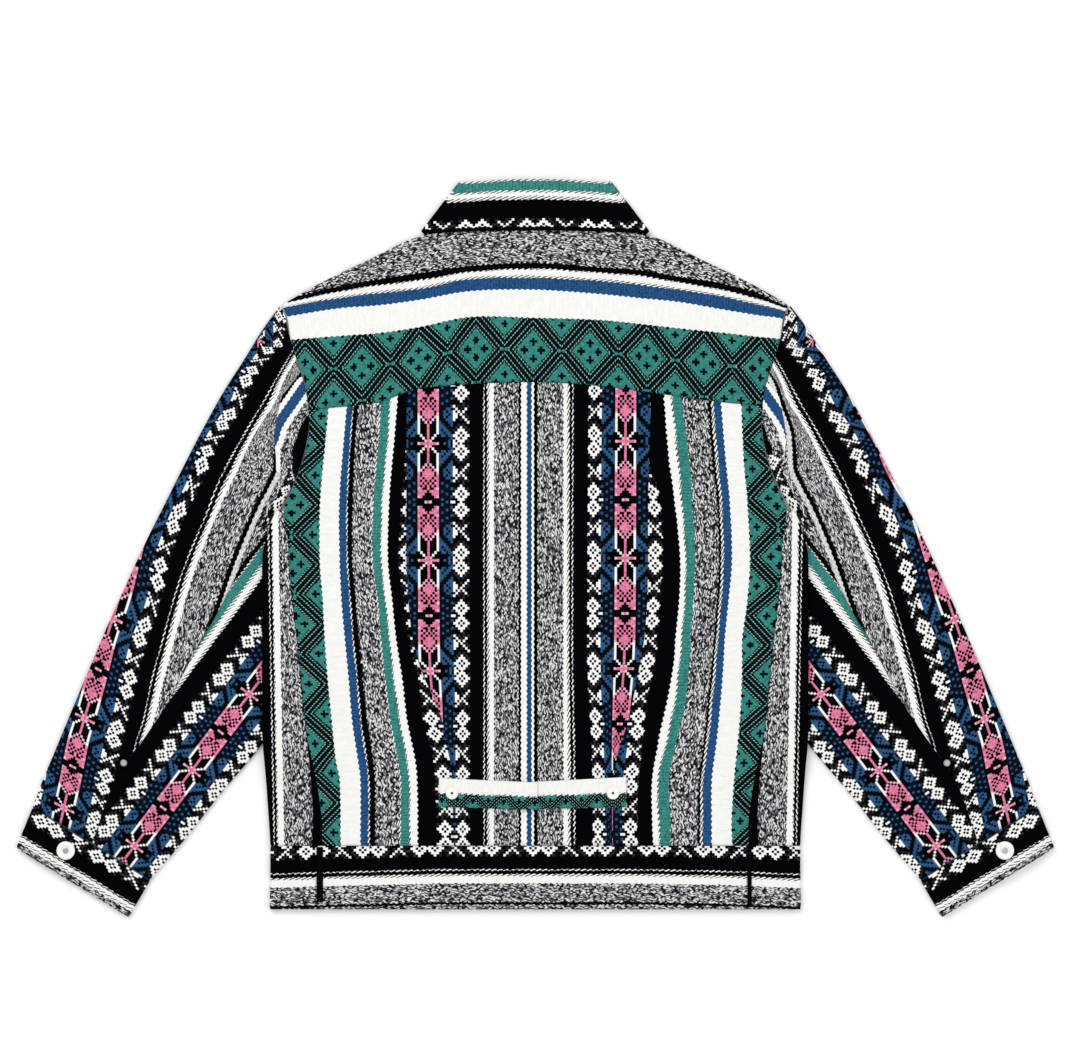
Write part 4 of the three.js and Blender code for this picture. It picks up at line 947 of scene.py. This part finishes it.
def sleeve_under(side):
    rows = []
    for at in np.linspace(UNDER_FROM, len(SLEEVE) - 1, 71):
        o, b, i, f, zo, zb, zi = sleeve_row(at)
        rows.append(fold_path(i, nudge(b, i, S2), nudge(f, i, S2), zi, FRONT_Z,
                              lambda x, y, t: mix(zb, zi, smooth(0, 1, t)) + 0.5 * folds(SLEEVE_CREASES, x, y)
                              * smooth(0, 0.2, t) * smooth(1, 0.6, t)
                              * smooth(290, 320, x - 0.45 * np.minimum(0, y + 60)), CLOTH / 2, UNDER, 20))
    pts = np.array(rows)
    x, y = px(mirror(pts, -1))
    a, b = ACROSS_UNDER
    u, v = a * x + b * y, (-b * x + a * y - UNDER_STAR) / UNDER_STEP * 2 * HALF_PERIOD
    add("sleeve_under_" + NAMES[side], mirror(pts, side), CLOTH, run_on(pts, u, v, UNDER + 1, 1), "under")


def cuffs():
    def edge(v):
        return [mix(a, b, v) for a, b in zip(CUFF_SEAM, CUFF_END)]
    width = hypot(CUFF_SEAM[0] - CUFF_SEAM[2], CUFF_SEAM[1] - CUFF_SEAM[3])
    low = BAND / 2
    r = (CUFF_Z - low) / 2
    pad, rc = (r + BAND / 2) / width, r / width

    def top_z(c):
        return CUFF_Z + (BAND + SEAM) * float(smooth(0.06, 0.2, c)) * (1 if c <= CUFF_OVER + 0.01 else 0)

    def bend(at, way):
        return [(at + way * sin(a) * rc, low + r + way * cos(a) * r) for a in steps(12)[1:] * pi]
    path = [(mix(CUFF_UNDER, 1 - pad, t), CUFF_Z) for t in steps(24)] + bend(1 - pad, 1)
    path += [(mix(1 - pad, pad, t), low) for t in steps(30)[1:]] + bend(pad, -1)
    path += [(mix(pad, CUFF_OVER, t), top_z(mix(pad, CUFF_OVER, t))) for t in steps(24)[1:]]
    rows = []
    for v in steps(16):
        ox, oy, ix, iy = edge(v)
        rows.append([(mix(ox, ix, c), mix(oy, iy, c), z) for c, z in path])
    pts = np.array(rows)
    u = np.repeat((steps(16) * CUFF_DEEP)[:, None], len(path), 1)
    c = np.array([c for c, z in path])
    v = np.repeat(((c * CUFF_WIDE - CUFF_STAR) / CUFF_STEP * HALF_PERIOD)[None, :], len(rows), 0)
    for side, name in NAMES.items():
        add("cuff_" + name, mirror(pts, side), BAND, (u, v), "cuff", dip=0.6)


# ---- collar
# rows, place of the fold in the cloth and cloth from there to the edge, the piece below
COLLAR = {"fall": (20, -3.1, 51.8, "v_back_yoke"), "stand": (12, -2, -40, "v_collar_fall")}
COLLAR_PULL = 0.925              # cloth to a pixel along the collar


def collar_half(which, w):
    fall = which == "fall"
    z, f = (FALL_Z if fall else STAND_Z), FOLD
    at = w if fall else mix(0.05, 0.87, w)
    r = (z[0] - z[1]) / 2
    fx, fy = f["ex"] - f["rx"], f["ey"] - f["ry"]
    ln = hypot(fx, fy)
    nx, ny = fy / ln, -fx / ln
    deep = (FALL_Z[0] - FALL_Z[1]) / 2 + CLOTH / 2
    cx, cy = mix(f["rx"], f["ex"], at) + nx * deep, mix(f["ry"], f["ey"], at) + ny * deep
    back_y = mix(f["roll"], f["free"], at)
    roll = 0.6 * (1 - float(smooth(0, 0.1, w))) if fall else 0.0
    out = [(cx * t, mix(back_y, cy, t * t), z[0] - roll * (1 - t)) for t in steps(26)]
    out += [(cx - nx * sin(t * pi) * r, cy - ny * sin(t * pi) * r,
             z[1] + r + cos(t * pi) * r) for t in steps(12)[1:]]
    if fall:
        ends = [(mix(q[0], q[2], w), mix(q[1], q[3], w)) for q in COLLAR_FRONT]
    else:
        ww = mix(0.08, 1, w)
        ends = [(mix(q[0], q[4], ww), mix(q[1], q[5], ww)) for q in COLLAR_FRONT]
    line = [(cx, cy)] + ends
    k = steps(36)[1:] * (len(line) - 1)
    out += list(zip(by_row(line, 0, k), by_row(line, 1, k), np.full(len(k), z[1])))
    return np.array(out)


def collar(which):
    n, first, deep, below = COLLAR[which]
    ws = steps(n)
    halves = [collar_half(which, w) for w in ws]
    pts = np.array([np.concatenate([mirror(half[1:][::-1], -1), half]) for half in halves])
    depth = first + ws * deep
    d = norm(np.diff(pts, axis=1), axis=2)
    s = np.concatenate([np.zeros((len(ws), 1)), np.cumsum(d, axis=1)], 1) / PX
    s = s - s[:, [s.shape[1] // 2]]
    uv = (np.repeat(depth[:, None], pts.shape[1], 1), s * COLLAR_PULL)
    add("collar_" + which, pts, CLOTH, uv, "collar", dip=0.5)


def disc(name, node, radius, top, drop, mat):
    """The middle of a button, a small turned disc that lies in the button's hollow."""
    low, high = np.array(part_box(node)) * 1000.0
    cx, cy, base = (low[0] + high[0]) / 2, (low[1] + high[1]) / 2, high[2] - drop
    ring = [(0.0, 0.0), (radius, 0.0), (radius, top * 0.7), (radius * 0.8, top), (0.0, top * 0.9)]
    verts, faces, seg = [], [], 20
    for r, z in ring:
        if r == 0.0:
            verts.append((cx, cy, base + z))
        else:
            verts += [(cx + r * cos(2 * pi * k / seg), cy + r * sin(2 * pi * k / seg), base + z)
                      for k in range(seg)]
    last = len(verts) - 1
    for k in range(seg):
        n = (k + 1) % seg
        faces.append((0, 1 + n, 1 + k))
        for i in range(2):
            a = 1 + i * seg
            faces.append((a + k, a + n, a + seg + n, a + seg + k))
        faces.append((last, 1 + 2 * seg + k, 1 + 2 * seg + n))
    mesh = bpy.data.meshes.new(name)
    mesh.from_pydata([tuple(c / 1000.0 for c in v) for v in verts], [], faces)
    mesh.materials.append(mat)
    obj = place(name, mesh)
    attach(obj, "root")


def both(make):
    for side in NAMES:
        make(side)


back_centre()
both(back_side)
yoke()
both(front)
both(side_panel)
waistband()
tapes()
tabs()
both(sleeve_upper)
both(sleeve_under)
cuffs()
collar("fall")
collar("stand")
for name in NAMES.values():
    disc("v_cuff_button_cap_" + name, "cuff_button_" + name, 3.2, 0.9, 1.45, STUD_MAT)
    disc("v_tab_button_thread_" + name, "tab_button_" + name, 1.3, 0.4, 0.5, TAPE_MAT)

for node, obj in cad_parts.items():
    mat = BUTTON_MAT if "button" in node else STUD_MAT if "stud" in node else None
    if mat:
        obj.data.materials.clear()
        obj.data.materials.append(mat)


# ---- floor, light, camera
FLOOR_Z, SKY = -0.0006, 0.85
LENS, CAMERA_AT = 192.3, (0.0049, 0.0255, 6.008)


def floor():
    mesh = bpy.data.meshes.new("floor")
    s = 3.0
    mesh.from_pydata([(-s, -s, 0), (s, -s, 0), (s, s, 0), (-s, s, 0)], [], [(0, 1, 2, 3)])
    obj = place("floor", mesh)
    obj.location.z = FLOOR_Z
    obj.data.materials.append(principled("floor", 0.95, (0.93, 0.93, 0.93, 1))[0])


def area_light(name, at, size, power):
    """A square light that looks at the middle of the jacket."""
    data = bpy.data.lights.new(name, "AREA")
    data.shape, data.size, data.energy = "SQUARE", size, power
    obj = place(name, data)
    obj.location = at
    obj.rotation_euler = (-mathutils.Vector(at)).to_track_quat("-Z", "Y").to_euler()


floor()
area_light("key", (-1.2, 1.6, 2.6), 1.6, 34)
area_light("fill", (1.6, -0.6, 2.6), 2.2, 14)
world = bpy.data.worlds.new("world")
world.use_nodes = True
sky = world.node_tree.nodes["Background"].inputs
sky["Color"].default_value, sky["Strength"].default_value = (1, 1, 1, 1), SKY
bpy.context.scene.world = world
bpy.context.scene.view_settings.view_transform = "Standard"

cam = bpy.data.cameras.new("camera")
cam.lens, cam.sensor_width, cam.clip_end = LENS, 36.0, 50
camera = place("camera", cam)
camera.location = (CAMERA_AT[0] + SHIFT[0] / 1000, CAMERA_AT[1] + SHIFT[1] / 1000, CAMERA_AT[2])
bpy.context.scene.camera = camera
